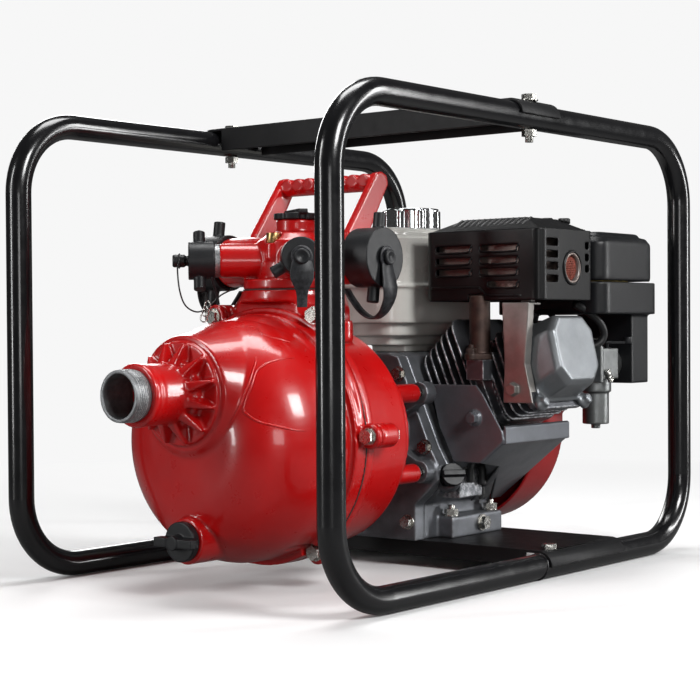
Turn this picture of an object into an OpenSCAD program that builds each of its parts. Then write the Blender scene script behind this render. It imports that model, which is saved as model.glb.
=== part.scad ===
// Portable fire pump: twin impeller pump on a small four-stroke engine in a roll frame.
// Row frame: +X from the suction inlet towards the recoil starter along the shaft,
// +Y away from the cylinder head, +Z up, origin on the floor at the centre of the frame.

/* [Roll frame] */
// Distance between the upright tubes of one hoop, centre to centre
frame_l = 625; // [610:1:680]
// Height between the lower and upper tubes, centre to centre
frame_h = 448; // [446:1:500]
// Distance between the two hoops, centre to centre
frame_w = 400; // [396:1:440]
// Outer diameter of the frame tube
tube_d = 25.4; // [24:0.1:27]
// Bend radius of the hoop corners, at the tube centre
bend_r = 72; // [60:1:90]
// Half width of the top crossbar along the hoop
crossbar_half = 35; // [30:1:40]

/* [Pump] */
// Height of the pump and crankshaft axis
axis_z = 144; // [143.5:0.5:146]
// Outer radius of the front bowl
bowl_r = 118; // [116:0.5:119]
// Corner radius of the bowl's domed front
bowl_corner = 70; // [60:1:74]
// Radius of the circle of casing bolts
casing_bolt_r = 132; // [131:0.5:134]
// Height of the suction inlet centre
inlet_z = 193; // [191:0.5:195]
// Outer radius of the threaded suction nipple
inlet_r = 23.9; // [23.5:0.1:24.2]

/* [Discharge] */
// Position of the discharge manifold along the shaft
manifold_x = -127; // [-129:0.5:-126]
// Height of the outlet centres
outlet_z = 321; // [320:0.5:322]
// Outer radius of the large outlet thread
big_r = 23.9; // [23.5:0.1:24.2]
// Outer radius of the small outlet thread
small_r = 16.6; // [16.4:0.1:16.8]
// Length of the carry grip
grip_l = 132; // [128:1:136]

/* [Engine] */
// Position of the cylinder along the shaft
cyl_x = 90; // [88:0.5:92]
// Slope of the cylinder above level
cyl_tilt = 23; // [22:0.5:24]
// Piston radius
piston_r = 34; // [33:0.5:35]
// Piston stroke
stroke = 54; // [48:1:55]

/* [Hidden] */
$fn = 64;

eps = 0.01;          // small overrun that keeps cuts clean
run = 0.06;          // running clearance on a radius
tube_r = tube_d / 2;
tube_wall = 2;
half_l = frame_l / 2;
half_w = frame_w / 2;
low_z = tube_r;
top_z = low_z + frame_h;
sheet = 3;           // pressed steel thickness
saddle_r = tube_r + 0.05;
frame_bolt_r = 4;
hex_r = 7.5;         // corner radius of an M8 hex head

// shapes along X, Y or a slanted line
module cyl_x(x0, x1, r, y = 0, z = 0) translate([x0, y, z]) rotate([0, 90, 0]) cylinder(h = x1 - x0,
  r = r);
module cyl_y(y0, y1, r, x = 0, z = 0) translate([x, y1, z]) rotate([90, 0, 0]) cylinder(h = y1 - y0,
  r = r);
module block(x0, x1, y0, y1, z0, z1) translate([x0, y0, z0]) cube([x1 - x0, y1 - y0, z1 - z0]);
module hex(r, h) cylinder(h = h, r = r, $fn = 6);
// plate in the XZ plane from an outline, between two Y values
module plate_xz(y0, y1) translate([0, y1, 0]) rotate([90, 0, 0]) linear_extrude(y1 - y0) children();
// plate in the YZ plane from an outline of [y, z] points, between two X values
module plate_yz(x0, x1) translate([x0, 0, 0]) rotate([90, 0, 90]) linear_extrude(x1 - x0) children();
module rounded(w, h, r) {
  square([w - 2 * r, h], center = true);
  square([w, h - 2 * r], center = true);
  for (sx = [-1, 1], sy = [-1, 1]) translate([sx * (w / 2 - r), sy * (h / 2 - r)]) circle(r);
}

// ---------- roll frame ----------
module hoop_solid(r) {
  a = half_l - bend_r;
  b = frame_h / 2 - bend_r;
  for (s = [-1, 1]) {
    translate([-a, s * frame_h / 2, 0]) rotate([0, 90, 0]) cylinder(h = 2 * a, r = r);
    translate([s * half_l, b, 0]) rotate([90, 0, 0]) cylinder(h = 2 * b, r = r);
  }
  for (k = [0:3])
    translate([(k == 0 || k == 3 ? 1 : -1) * a, (k < 2 ? 1 : -1) * b, 0])
      rotate([0, 0, 90 * k]) rotate_extrude(angle = 90) translate([bend_r, 0]) circle(r);
}
module hoop(y) {
  difference() {
    translate([0, y, low_z + frame_h / 2]) rotate([90, 0, 0]) difference() {
      hoop_solid(tube_r);
      hoop_solid(tube_r - tube_wall);
    }
    translate([0, y, top_z - tube_d]) cylinder(h = 2 * tube_d, r = frame_bolt_r + 0.2);
    translate([base_bolt_x, y, low_z]) cylinder(h = tube_d, r = frame_bolt_r + 0.2);
  }
}
module hoop_near() color("#1b1d20") hoop(-half_w);
module hoop_far() color("#1b1d20") hoop(half_w);

channel_in = half_w - tube_r - 4;   // where the side flanges of the channels stop
base_x0 = 15;
base_x1 = 160;
base_top = tube_d + 0.05 + sheet;
base_bolt_x = 34;

// quarter ring that wraps a channel end over the outside of a tube
module saddle(x0, x1, y, z) {
  s = sign(y);
  intersection() {
    difference() {
      cyl_x(x0, x1, saddle_r + sheet, y, z);
      cyl_x(x0 - 1, x1 + 1, saddle_r, y, z);
    }
    block(x0 - 1, x1 + 1, s > 0 ? y : y - 30, s > 0 ? y + 30 : y, z, z + 30);
  }
}
module channel(x0, x1, tube_z, depth) {
  z1 = tube_z + saddle_r + sheet;
  block(x0, x1, -half_w, half_w, z1 - sheet, z1);
  for (x = [x0, x1 - sheet]) block(x, x + sheet, -channel_in, channel_in, z1 - depth, z1 - 1);
  for (s = [-1, 1]) saddle(x0, x1, s * half_w, tube_z);
}
module top_crossbar() color("#1b1d20") difference() {
  channel(-crossbar_half, crossbar_half, top_z, 25);
  for (s = [-1, 1]) translate([0, s * half_w, top_z]) cylinder(h = 40, r = frame_bolt_r + 0.2);
}
foot_hole_x = [cyl_x - 36, cyl_x + 38];
foot_hole_y = 65;
module base_channel() color("#1b1d20") difference() {
  channel(base_x0, base_x1, low_z, 17);
  for (s = [-1, 1]) {
    translate([base_bolt_x, s * half_w, low_z]) cylinder(h = 40, r = frame_bolt_r + 0.2);
    for (x = foot_hole_x) translate([x, s * foot_hole_y, 0]) cylinder(h = 60, r = 4.3);
  }
}
module frame_bolts() color("#c9c6bd") for (s = [-1, 1]) {
  crown = top_z + saddle_r + sheet;
  translate([0, s * half_w, crown]) {
    cylinder(h = 1.4, r = 9);
    translate([0, 0, 1.4]) hex(hex_r, 5.3);
  }
  translate([0, s * half_w, top_z - 25]) cylinder(h = crown - top_z + 25 + 0.5, r = frame_bolt_r);
  translate([0, s * half_w, top_z - tube_r - 6.6]) hex(hex_r, 6.5);
  translate([base_bolt_x, s * half_w, base_top]) hex(hex_r, 5.3);
  translate([base_bolt_x, s * half_w, low_z]) cylinder(h = base_top - low_z + 0.5, r = frame_bolt_r);
}

// ---------- pump casing ----------
joint_x = -166;        // plane where bowl and casing meet
gasket_half = 0.5;
bowl_face = joint_x - gasket_half;
bowl_front = -280;
bowl_len = bowl_face - bowl_front;
bowl_wall = 7;
rim_r = 124;
bolt_n = 6;
bolt_boss_r = 12;
lug_z = axis_z + 7;     // centre of the bolt circle, a little above the shaft

// half section of the bowl, moved in by d from its outside
module bowl_section(d) {
  r = bowl_r - d;
  c = bowl_corner - d;
  square([r - c, bowl_len - d]);
  square([r, bowl_len - bowl_corner]);
  translate([r - c, bowl_len - bowl_corner]) intersection() {
    circle(c);
    square(c);
  }
}
module bowl_shape(d) translate([bowl_face, 0, axis_z]) rotate([0, -90, 0]) rotate_extrude($fn = 96)
  bowl_section(d);
module at_casing_bolts() for (k = [0:bolt_n - 1])
  translate([0, casing_bolt_r * cos(k * 360 / bolt_n), lug_z + casing_bolt_r * sin(k * 360 / bolt_n)])
    children();
boss_front = -292;     // front of the ribbed inlet boss
boss_r = 49;
neck_r = 28.5;
neck_end = -350;
nipple_seat = -331;
drain_z = 54;
drain_boss_r = 22;
drain_face = -285;
drain_hole_r = 10;

module inlet_ribs() for (k = [0:11])
  translate([0, 0, inlet_z]) rotate([k * 30 + 15, 0, 0]) intersection() {
    translate([0, 8, 0]) rotate([90, 0, 0]) linear_extrude(16) polygon([[boss_front + 3, neck_r - 3],
      [boss_front - 20, neck_r - 3], [boss_front - 17, neck_r + 3], [boss_front - 6, boss_r],
        [boss_front + 3, boss_r]]);
    plate_yz(boss_front - 30, boss_front + 4) polygon([[-5.5, neck_r - 4], [5.5, neck_r - 4], [1.2,
      boss_r - 0.5], [-1.2, boss_r - 0.5]]);
  }
module pump_bowl() color("#c4161c") {
  bowl_casting();
  difference() {
    for (s = [-1, 1]) block(boss_front + 6.9, flap_x + 3, s * 9.5 - 2.5, s * 9.5 + 2.5,
      flap_pin_z - 3.8, flap_pin_z + 14);
    cyl_y(-14, 14, 2.5 + run, flap_x - 1, flap_pin_z);
  }
}
module bowl_casting() difference() {
  union() {
    bowl_shape(0);
    cyl_x(bowl_face - 15.5, bowl_face, rim_r, 0, axis_z);
    at_casing_bolts() cyl_x(bowl_face - 6.5, bowl_face, bolt_boss_r);
    cyl_x(bowl_face - 6.4, bowl_face, rim_r - 1, 0, lug_z);
    cyl_x(boss_front, -225, boss_r, 0, inlet_z);
    hull() {
      cyl_x(boss_front + 5, boss_front + 9, boss_r + 5, 0, inlet_z);
      cyl_x(-192, bowl_face - 15, bowl_r - 8, 0, axis_z + 12);
    }
    cyl_x(neck_end, boss_front + eps, neck_r, 0, inlet_z);
    cyl_x(neck_end + 1, neck_end + 6, neck_r + 1, 0, inlet_z);
    cyl_x(neck_end + 9, neck_end + 13, neck_r + 0.6, 0, inlet_z);
    cyl_x(boss_front - 8, boss_front + eps, neck_r + 3, 0, inlet_z);
    inlet_ribs();
    cyl_x(drain_face, -225, drain_boss_r, 0, drain_z);
  }
  bowl_shape(bowl_wall);
  cyl_x(boss_front + 7, -224, boss_r - 6, 0, inlet_z);
  cyl_x(neck_end - 1, nipple_seat, inlet_r - 1.15, 0, inlet_z);
  cyl_x(nipple_seat - 1, -220, 20, 0, inlet_z);
  cyl_x(drain_face - 1, -220, drain_hole_r, 0, drain_z);
  at_casing_bolts() {
    cyl_x(bowl_face - 20, bowl_face + 1, 4.3);
    cyl_x(bowl_face - 45, bowl_face - 6.5, 9.5);
  }
}

casing_face = joint_x + gasket_half;
casing_back = -66;
casing_wall = 8;
// half section of the rear casing: radius against distance from the joint plane
module casing_section(d) polygon([[0, d > 0 ? -1 : 0], [rim_r - 3 - d, d > 0 ? -1 : 0], [rim_r - 5 - d,
  16], [rim_r - 13 - d, 80],
  [rim_r - 28 - d, casing_back - casing_face - d * 1.25], [0, casing_back - casing_face - d * 1.25]]);
pad_z = 291;
pad_r = 50;
seal_r = 20;
pump_shaft_r = 12.5;
module pump_casing() color("#c4161c") difference() {
  union() {
    translate([casing_face, 0, axis_z]) rotate([0, 90, 0]) rotate_extrude($fn = 96) casing_section(0);
    cyl_x(casing_face, casing_face + 12, rim_r, 0, axis_z);
    cyl_x(casing_face, casing_face + 11.9, rim_r - 1, 0, lug_z);
    at_casing_bolts() cyl_x(casing_face, casing_face + 26, bolt_boss_r);
    hull() {
      translate([manifold_x, 0, pad_z - 9]) cylinder(h = 3, r = pad_r + 3);
      translate([-131, 5, axis_z + 96]) scale([0.42, 1, 1]) cylinder(h = 22, r = 81);
    }
    translate([manifold_x, 0, pad_z - 7]) cylinder(h = 7, r = pad_r + 2);
  }
  translate([casing_face, 0, axis_z]) rotate([0, 90, 0]) rotate_extrude($fn = 96)
    casing_section(casing_wall);
  cyl_x(-100, casing_back + 1, seal_r + 0.05, 0, axis_z);
  block(casing_face - 60, casing_face, -100, 100, axis_z, pad_z - 12);
  translate([manifold_x, 0, axis_z]) cylinder(h = 200, r = 24);
  at_casing_bolts() {
    cyl_x(casing_face - 1, casing_face + 40, 4.3);
    cyl_x(casing_face + 26, casing_face + 70, 9.5);
  }
  for (a = adapter_angles) rotate_about_shaft(a) cyl_x(casing_back - 12, casing_back + 1, 4.3,
    adapter_bolt_r, 0);
}
module casing_gasket() color("#2b2b2b") difference() {
  cyl_x(bowl_face + eps, casing_face - eps, rim_r, 0, axis_z);
  cyl_x(bowl_face - 1, casing_face + 1, bowl_r - bowl_wall, 0, axis_z);
  at_casing_bolts() cyl_x(bowl_face - 1, casing_face + 1, 4.3);
}
module casing_bolts() color("#b9bbbd") {
  at_casing_bolts() {
    cyl_x(bowl_face - 8, bowl_face - 6.5, 8.5);
    translate([bowl_face - 13.3, 0, 0]) rotate([0, 90, 0]) hex(hex_r, 5.3);
    cyl_x(bowl_face - 9, casing_face + 34, 4);
    translate([casing_face + 26, 0, 0]) rotate([0, 90, 0]) hex(hex_r, 5.5);
  }
  for (a = adapter_angles) rotate_about_shaft(a) {
    cyl_x(casing_back - 10, adapter_end + 15, 4, adapter_bolt_r, 0);
    translate([adapter_end - 9, adapter_bolt_r, 0]) rotate([0, 90, 0]) hex(hex_r - 0.5, 5);
  }
}

adapter_angles = [30, 150, 210, 330];
adapter_bolt_r = 82.5;
adapter_end = -12;
module rotate_about_shaft(a) translate([0, 0, axis_z]) rotate([a, 0, 0]) children();
module engine_adapter() color("#c4161c") difference() {
  union() {
    cyl_x(casing_back + 0.1, casing_back + 9, 93, 0, axis_z);
    for (a = adapter_angles) rotate_about_shaft(a) cyl_x(casing_back + 0.1, adapter_end - 9, 10,
      adapter_bolt_r, 0);
  }
  cyl_x(casing_back - 1, adapter_end + 1, 60, 0, axis_z);
  for (a = adapter_angles) rotate_about_shaft(a) cyl_x(casing_back - 1, adapter_end + 1, 4.3,
    adapter_bolt_r, 0);
}

nipple_mouth = -369;
module inlet_nipple() color("#8f9295") difference() {
  union() {
    cyl_x(nipple_mouth, neck_end - 0.1, inlet_r, 0, inlet_z);
    cyl_x(neck_end - 0.2, nipple_seat, inlet_r - 1.2, 0, inlet_z);
  }
  cyl_x(nipple_mouth - 1, nipple_seat + 1, 20.4, 0, inlet_z);
}
flap_pin_z = inlet_z + 27;
flap_x = boss_front + 11;
flap_r = 21.7;       // covers the bore and clears the hinge ears as it opens
module check_flap() color("#232323") {
  cyl_x(flap_x - 3.9, flap_x + 0.5, flap_r, 0, inlet_z);
  block(flap_x - 3.9, flap_x + 0.5, -6, 6, inlet_z + flap_r - 4, flap_pin_z - 1);
  cyl_y(-11, 11, 2.5, flap_x - 1, flap_pin_z);
}
module drain_plug() color("#202224") {
  cyl_x(drain_face - 8, drain_face - 0.1, 19, 0, drain_z);
  cyl_x(drain_face - 1, drain_face + 22, drain_hole_r - run, 0, drain_z);
  cyl_x(drain_face - 19, drain_face - 7, 7, 0, drain_z);
  block(drain_face - 18, drain_face - 7, -24, 24, drain_z - 4.5, drain_z + 4.5);
}

// ---------- discharge ----------
manifold_z0 = pad_z + 1;
hub_r = 36;
big_port_r = 25.5;
small_port_r = 17.2;
big_face = 84;       // end of a large port, from the manifold centre
small_face = 74;     // end of a small port
prime_x = manifold_x + 5;
prime_top = 362;
prime_bore_r = 15;
handle_z = 350;
handle_y = 62;
handle_t = 8;
grip_x = -69;
grip_z = 399;
lobe_n = 8;
plug_x = -157;
big_angles = [90, 270];
small_angles = [135, 225];
manifold_bolt_r = 42;

// port: a cylinder leaving the manifold centre at angle a about the vertical
module port(a, d0, d1, r) translate([manifold_x, 0, outlet_z]) rotate([0, 0, a]) rotate([0, 90, 0])
  translate([0, 0, d0]) cylinder(h = d1 - d0, r = r);
module handle_leg() polygon([[manifold_x + 3, outlet_z + 6], [manifold_x + 9, handle_z], [grip_x - 8,
  grip_z + 5],
  [grip_x - 4, grip_z + 10], [grip_x + 4, grip_z + 12], [grip_x + 12, grip_z + 9], [grip_x + 15,
    grip_z], [manifold_x + 42, handle_z],
  [manifold_x + 30, outlet_z + 8]]);
module discharge_manifold() color("#c4161c") difference() {
  union() {
    translate([manifold_x, 0, manifold_z0]) cylinder(h = 10, r = pad_r);
    translate([manifold_x, 0, manifold_z0]) cylinder(h = 48, r = hub_r);
    translate([manifold_x, 0, manifold_z0 + 48]) cylinder(h = 9, r1 = hub_r, r2 = 24);
    translate([prime_x, 0, manifold_z0 + 40]) cylinder(h = prime_top - manifold_z0 - 40, r = 20);
    for (a = big_angles) port(a, 0, big_face, big_port_r);
    for (a = small_angles) port(a, 0, small_face, small_port_r);
    translate([plug_x, 0, outlet_z]) cylinder(h = 17, r = 8.5);
    for (s = [-1, 1]) plate_xz(s * handle_y - handle_t / 2, s * handle_y + handle_t / 2) handle_leg();
    for (s = [-1, 1]) block(manifold_x - 4, manifold_x + 32, s * handle_y - 9, s * handle_y + 9,
      outlet_z, handle_z - 6);
    cyl_y(-grip_l / 2, grip_l / 2, 8, grip_x, grip_z);
    for (k = [0:lobe_n - 1]) translate([grip_x - 9, (k - (lobe_n - 1) / 2) * 14.6, grip_z + 3])
      rotate([0, 90, 0]) cylinder(h = 18, r = 7);
  }
  translate([manifold_x, 0, manifold_z0 - 1]) cylinder(h = 45, r = 24);
  translate([prime_x, 0, manifold_z0 + 30]) cylinder(h = 100, r = prime_bore_r);
  for (a = big_angles) {
    port(a, 0, big_face + 1, 18);
    port(a, 65, big_face + 1, 21.05);
  }
  for (a = small_angles) {
    port(a, 0, small_face + 1, 11);
    port(a, 59, small_face + 1, 14.05);
  }
  translate([plug_x, 0, outlet_z + 5]) cylinder(h = 20, r = 5.05);
  translate([plug_x, 0, outlet_z + 17]) cylinder(h = 30, r = 8);
}
module manifold_gasket() color("#2b2b2b") difference() {
  translate([manifold_x, 0, pad_z + eps]) cylinder(h = 1 - 2 * eps, r = pad_r + 0.5);
  translate([manifold_x, 0, pad_z - 1]) cylinder(h = 3, r = 24);
}
module outlet_nipples() color("#8f9295") {
  for (a = big_angles) difference() {
    union() {
      port(a, 65.1, big_face + 0.3, 21);
      port(a, big_face + 0.1, 111, big_r);
    }
    port(a, 60, 112, 18);
  }
  for (a = small_angles) difference() {
    union() {
      port(a, 59.1, small_face + 0.3, 14);
      port(a, small_face + 0.1, 99, small_r);
    }
    port(a, 55, 101, 11);
  }
}
// screw cap with two grip ears and a button that holds the strap
module outlet_cap(a, thread_r, cap_r, d0, d1, ear, ear_turn, button = 6) {
  difference() {
    union() {
      port(a, d0, d1, cap_r);
      translate([manifold_x, 0, outlet_z]) rotate([0, 0, a]) translate([d1 - 11, 0, 0])
        rotate([ear_turn, 0, 0])
        cylinder(h = 2 * (cap_r + ear), r = 6, center = true);
    }
    port(a, d0 - 1, d1 - 5, thread_r + run);
    port(a, d0 - 1, d0 + 3, thread_r + 1);
  }
  port(a, d1 - 1, d1 + button, 5);
  port(a, d1 + 3.4, d1 + button + 1, button > 8 ? 6.5 : 7.5);
}
big_cap_end = 117;
small_cap_end = 105;
module cap_near() color("#26282b") outlet_cap(270, big_r, 29, big_face + 1.5, big_cap_end, 15, -8);
module cap_far() color("#26282b") outlet_cap(90, big_r, 29, big_face + 1.5, big_cap_end, 15, 8);
module cap_front_near() color("#26282b") outlet_cap(225, small_r, 19, small_face + 5, small_cap_end,
  12, -60);
module cap_front_far() color("#26282b") outlet_cap(135, small_r, 19, small_face + 5, small_cap_end, 12,
  20, 14);
// flat strap: a ring on the cap button, then a band along a line of [distance, height] points
strap_t = 2.4;
big_ring_d = big_cap_end + 0.7;
small_ring_d = small_cap_end + 0.7;
function path_dir(path, i) = let(a = path[max(i - 1, 0)], b = path[min(i + 1, len(path) - 1)]) (b - a)
  / norm(b - a);
function path_side(path, h) = [for (i = [0:len(path) - 1]) let(v = path_dir(path, i))
  path[i] + h * [-v[1], v[0]]];
function reversed(list) = [for (i = [len(list) - 1:-1:0]) list[i]];
module cap_strap(a, d, path) translate([manifold_x, 0, 0]) rotate([0, 0, a]) {
  h = strap_t / 2 - 0.1;
  difference() {
    cyl_x(d, d + strap_t, 11, 0, outlet_z);
    cyl_x(d - 1, d + strap_t + 1, 5.4, 0, outlet_z);
  }
  plate_xz(-6, 6) polygon(concat(path_side(path, h), reversed(path_side(path, -h))));
}
function strap_line(d, low) = concat([[d + strap_t / 2, outlet_z - 8], [d + strap_t / 2, low + 12]],
  [[d - 4, low + 2], [d - 16, low]]);
module cap_straps() color("#26282b") {
  for (a = big_angles) cap_strap(a, big_ring_d, concat(strap_line(big_ring_d, 269), [[84, 274], [66,
    290]]));
  for (a = small_angles) cap_strap(a, small_ring_d, concat(strap_line(small_ring_d, 279), [[76, 283],
    [60, 294]]));
}
module priming_cap() color("#2c2f33") {
  difference() {
    translate([prime_x, 0, prime_top + 0.1]) cylinder(h = 6.4, r = 22.5);
    for (k = [0:5]) translate([prime_x, 0, prime_top]) rotate([0, 0, k * 60]) translate([24, 0, 0])
      cylinder(h = 7, r = 5);
  }
  translate([prime_x, 0, prime_top - 12]) cylinder(h = 13, r = prime_bore_r - run);
  translate([prime_x, 0, prime_top + 6]) for (a = [0, 180]) rotate([0, 0, a + 60]) block(-22, 0, -5, 5,
    0, 4.5);
}
module brass_plug() color("#b08d57") {
  translate([plug_x, 0, outlet_z + 17.1]) cylinder(h = 9.5, r = 7);
  translate([plug_x, 0, outlet_z + 6]) cylinder(h = 12, r = 5);
}

// ---------- pump rotor and seal ----------
vane_n = 6;
impeller_r = 72;
module impeller(x) difference() {
  union() {
    cyl_x(x, x + 3, impeller_r, 0, axis_z);
    cyl_x(x + 11, x + 14, impeller_r, 0, axis_z);
    cyl_x(x - 2, x + 16, 19, 0, axis_z);
    for (k = [0:vane_n - 1]) rotate_about_shaft(k * 360 / vane_n) translate([0, 16, 0]) rotate([-28, 0,
      0])
      block(x + 2, x + 12, 0, 52, 0, 3);
  }
  cyl_x(x - 3, x + 17, pump_shaft_r + 0.02, 0, axis_z);
}
module impeller_first() color("#a87b3e") impeller(-156);
module impeller_second() color("#a87b3e") impeller(-116);
module stage_diffuser() color("#8d9093") difference() {
  union() {
    cyl_x(-134, -124, 107.7, 0, axis_z);
    for (k = [0:7]) rotate_about_shaft(k * 45) translate([0, 76, 0]) block(-124.5, -112, 0, 12, -1.5,
      1.5);
  }
  cyl_x(-135, -111, 20.5, 0, axis_z);
}
module shaft_seal() color("#55585c") difference() {
  union() {
    cyl_x(-82, casing_back + 1, seal_r, 0, axis_z);
    cyl_x(-86, -81.9, 17, 0, axis_z);
  }
  cyl_x(-90, casing_back + 2, pump_shaft_r + run, 0, axis_z);
}

// ---------- engine inside ----------
throw_r = stroke / 2;
journal_r = 15;
crank_tooth_n = 20;
cam_tooth_n = 40;
gear_m = 2;
gear_x = 130;
gear_w = 8;
cam_angle = -90;     // direction of the camshaft about the shaft, from +Y towards +Z
cam_dist = gear_m * (crank_tooth_n + cam_tooth_n) / 2;
// spur wheel lying along X, with a tooth centred on +Y
module gear_x_axis(n, w) rotate([90, 0, 90]) linear_extrude(w) union() {
  r = gear_m * n / 2;
  circle(r - 1.2 * gear_m);
  for (k = [0:n - 1]) rotate([0, 0, k * 360 / n]) polygon([
    [r - 1.5 * gear_m, -gear_m * 1.0], [r + 0.85 * gear_m, -gear_m * 0.36],
    [r + 0.85 * gear_m, gear_m * 0.36], [r - 1.5 * gear_m, gear_m * 1.0]]);
}
module crankshaft() color("#9a9da1") {
  cyl_x(-165, -14, pump_shaft_r, 0, axis_z);
  translate([-170, 0, axis_z]) rotate([0, 90, 0]) hex(15, 6);
  cyl_x(-15, cyl_x - 36, journal_r, 0, axis_z);
  for (x = [cyl_x - 32, cyl_x + 20]) cyl_x(x, x + 12, 36, 0, axis_z);
  cyl_x(cyl_x - 37, cyl_x - 31, 20, 0, axis_z);
  rotate_about_shaft(180 - cyl_tilt) cyl_x(cyl_x - 21, cyl_x + 21, 11, throw_r, 0);
  cyl_x(cyl_x + 31, 165, journal_r, 0, axis_z);
  cyl_x(164, 194, 10, 0, axis_z);
  translate([192, 0, axis_z]) rotate([0, 90, 0]) hex(14, 8);
  translate([gear_x, 0, axis_z]) rotate([cam_angle, 0, 0]) gear_x_axis(crank_tooth_n, gear_w);
}
bearing_xs = [16, 142];
module main_bearings() color("#b5b8bb") for (x = bearing_xs) difference() {
  cyl_x(x, x + 12, 27, 0, axis_z);
  cyl_x(x - 1, x + 13, journal_r + run, 0, axis_z);
}
module flywheel() color("#5b5e62") {
  difference() {
    union() {
      cyl_x(166, 176, 84, 0, axis_z);
      cyl_x(158, 184, 22, 0, axis_z);
      for (k = [0:11]) rotate_about_shaft(k * 30) translate([0, 50, 0]) rotate([20, 0, 0]) block(175,
        192, 0, 36, -1.5, 1.5);
    }
    cyl_x(150, 185, 10.02, 0, axis_z);
    cyl_x(157, 165.02, journal_r + 0.02, 0, axis_z);
  }
  difference() {
    cyl_x(183.9, 196, 38, 0, axis_z);
    cyl_x(186, 197, 35, 0, axis_z);
    cyl_x(180, 190, 10.02, 0, axis_z);
  }
}
cam_r = 8;
module at_cam() rotate_about_shaft(cam_angle) translate([0, cam_dist, 0]) children();
module camshaft() color("#8a8d91") at_cam() {
  cyl_x(20, 150, cam_r);
  for (k = [0, 1]) translate([58 + k * 44, 0, 0]) rotate([110 * k, 0, 0]) {
    cyl_x(0, 11, 11);
    translate([0, 5, 0]) cyl_x(0, 11, 8);
  }
  translate([gear_x, 0, 0]) rotate([180 + 180 / cam_tooth_n, 0, 0]) gear_x_axis(cam_tooth_n, gear_w);
}

// frame of the cylinder: local Z runs out along the bore, local Y is up and square to it
module on_cylinder() translate([cyl_x, 0, axis_z]) rotate([90 - cyl_tilt, 0, 0]) children();
deck = 126;
module piston() color("#b4b6b8") on_cylinder() difference() {
  translate([0, 0, deck - 31]) cylinder(h = 30, r = piston_r - run);
  translate([0, 0, deck - 32]) cylinder(h = 24, r = piston_r - 6);
  for (k = [0:2]) translate([0, 0, deck - 6 - k * 4]) difference() {
    cylinder(h = 1.4, r = piston_r + 1);
    translate([0, 0, -1]) cylinder(h = 4, r = piston_r - 2);
  }
}

// ---------- engine outside ----------
cover_x = -12;       // face that the pump bolts to
case_x0 = 20;
case_x1 = 146;
foot_top = 51;
wall_y = 54;         // half width of the sump between the feet
case_half = 84;
case_top = axis_z + 82;
module case_outline(d) polygon([[-wall_y + d, base_top + d], [wall_y - d, base_top + d], [wall_y - d,
  66], [case_half - d, 94],
  [case_half - d, axis_z + 48 - d], [50 - d, case_top - d], [-20, case_top - d], [-32 + d,
    case_top - 4 - d], [-73.8 + d, 126.7],
  [-case_half + d, 110], [-case_half + d, 94], [-wall_y + d, 66]]);
module crankcase() color("#a7aaad") difference() {
  union() {
    plate_yz(case_x0, case_x1) case_outline(0);
    for (s = [-1, 1]) block(cyl_x - 46, cyl_x + 48, s > 0 ? wall_y - 9 : -74, s > 0 ? 74 : -wall_y + 9,
      base_top, foot_top);
    on_cylinder() translate([0, 0, 40]) cylinder(h = 22, r = 50);
    at_oil() translate([0, 0, -10]) cylinder(h = 10 + oil_boss, r = 13);
  }
  plate_yz(case_x0 - 1, case_x1 - 8) case_outline(8);
  on_cylinder() translate([0, 0, 20]) cylinder(h = 60, r = piston_r + 5.6);
  cyl_x(case_x1 - 9, case_x1 + 1, 27.05, 0, axis_z);
  at_cam() cyl_x(case_x1 - 9, case_x1 - 4, cam_r + run);
  at_cam() cyl_x(case_x1 - 5, case_x1 + 6, cam_r + run);
  for (s = [-1, 1], x = foot_hole_x) translate([x, s * foot_hole_y, 20]) cylinder(h = 60, r = 4.3);
  at_oil() cylinder(h = 50, r = oil_r, center = true);
  at_oil() translate([0, 0, oil_boss]) cylinder(h = 30, r = 13.2);
  block(case_x0 - 30, case_x0, -200, 200, 0, 300);
}
cover_bolt_pts = [[-68, 128], [-45, 48], [45, 48], [76, axis_z - 2], [56, axis_z + 60], [-34,
  axis_z + 60]];
module side_cover() color("#a7aaad") difference() {
  union() {
    difference() {
      plate_yz(4, case_x0 - 0.1) case_outline(0);
      plate_yz(11, case_x0 + 1) case_outline(8);
    }
    cyl_x(cover_x, 5, 46, 0, axis_z);
    cyl_x(4, 27, 34, 0, axis_z);
    for (a = adapter_angles) rotate_about_shaft(a) {
      cyl_x(cover_x, 5, 12, adapter_bolt_r - 1, 0);
      block(cover_x, 5, 30, adapter_bolt_r, -9, 9);
    }
  }
  cyl_x(cover_x - 1, 40, journal_r + 3, 0, axis_z);
  cyl_x(bearing_xs[0] - 0.1, 40, 27.05, 0, axis_z);
  at_cam() cyl_x(10, 40, cam_r + run);
  for (a = adapter_angles) rotate_about_shaft(a) cyl_x(cover_x - 1, 6, 4.3, adapter_bolt_r, 0);
  for (p = cover_bolt_pts) cyl_x(3, 30, 3.3, p[0], p[1]);
  at_oil() translate([0, 0, oil_boss - 25]) cylinder(h = 60, r = 13.6);
}
module hex_x(x, y, z, r, h) translate([x, y, z]) rotate([0, 90, 0]) hex(r, h);
module engine_bolts() color("#bfc1c3") {
  for (p = cover_bolt_pts) {
    cyl_x(2.5, 4, 8, p[0], p[1]);
    hex_x(-3.5, p[0], p[1], 6.5, 6.2);
    cyl_x(3.5, 19, 3.2, p[0], p[1]);
  }
  for (s = [-1, 1], x = foot_hole_x) {
    translate([x, s * foot_hole_y, foot_top]) {
      cylinder(h = 1.5, r = 8);
      hex(hex_r, 8);
      cylinder(h = 12, r = 4);
    }
    translate([x, s * foot_hole_y, base_top - sheet - 6]) {
      hex(hex_r, 5.9);
      cylinder(h = 40, r = 4);
    }
  }
  translate([cyl_x + 8, -74, 41]) rotate([90, 0, 0]) {
    cylinder(h = 2, r = 9);
    hex(7.5, 8);
  }
}
head_z1 = 176;
fin_t = 2.2;
fin_pitch = 9.4;
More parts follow.
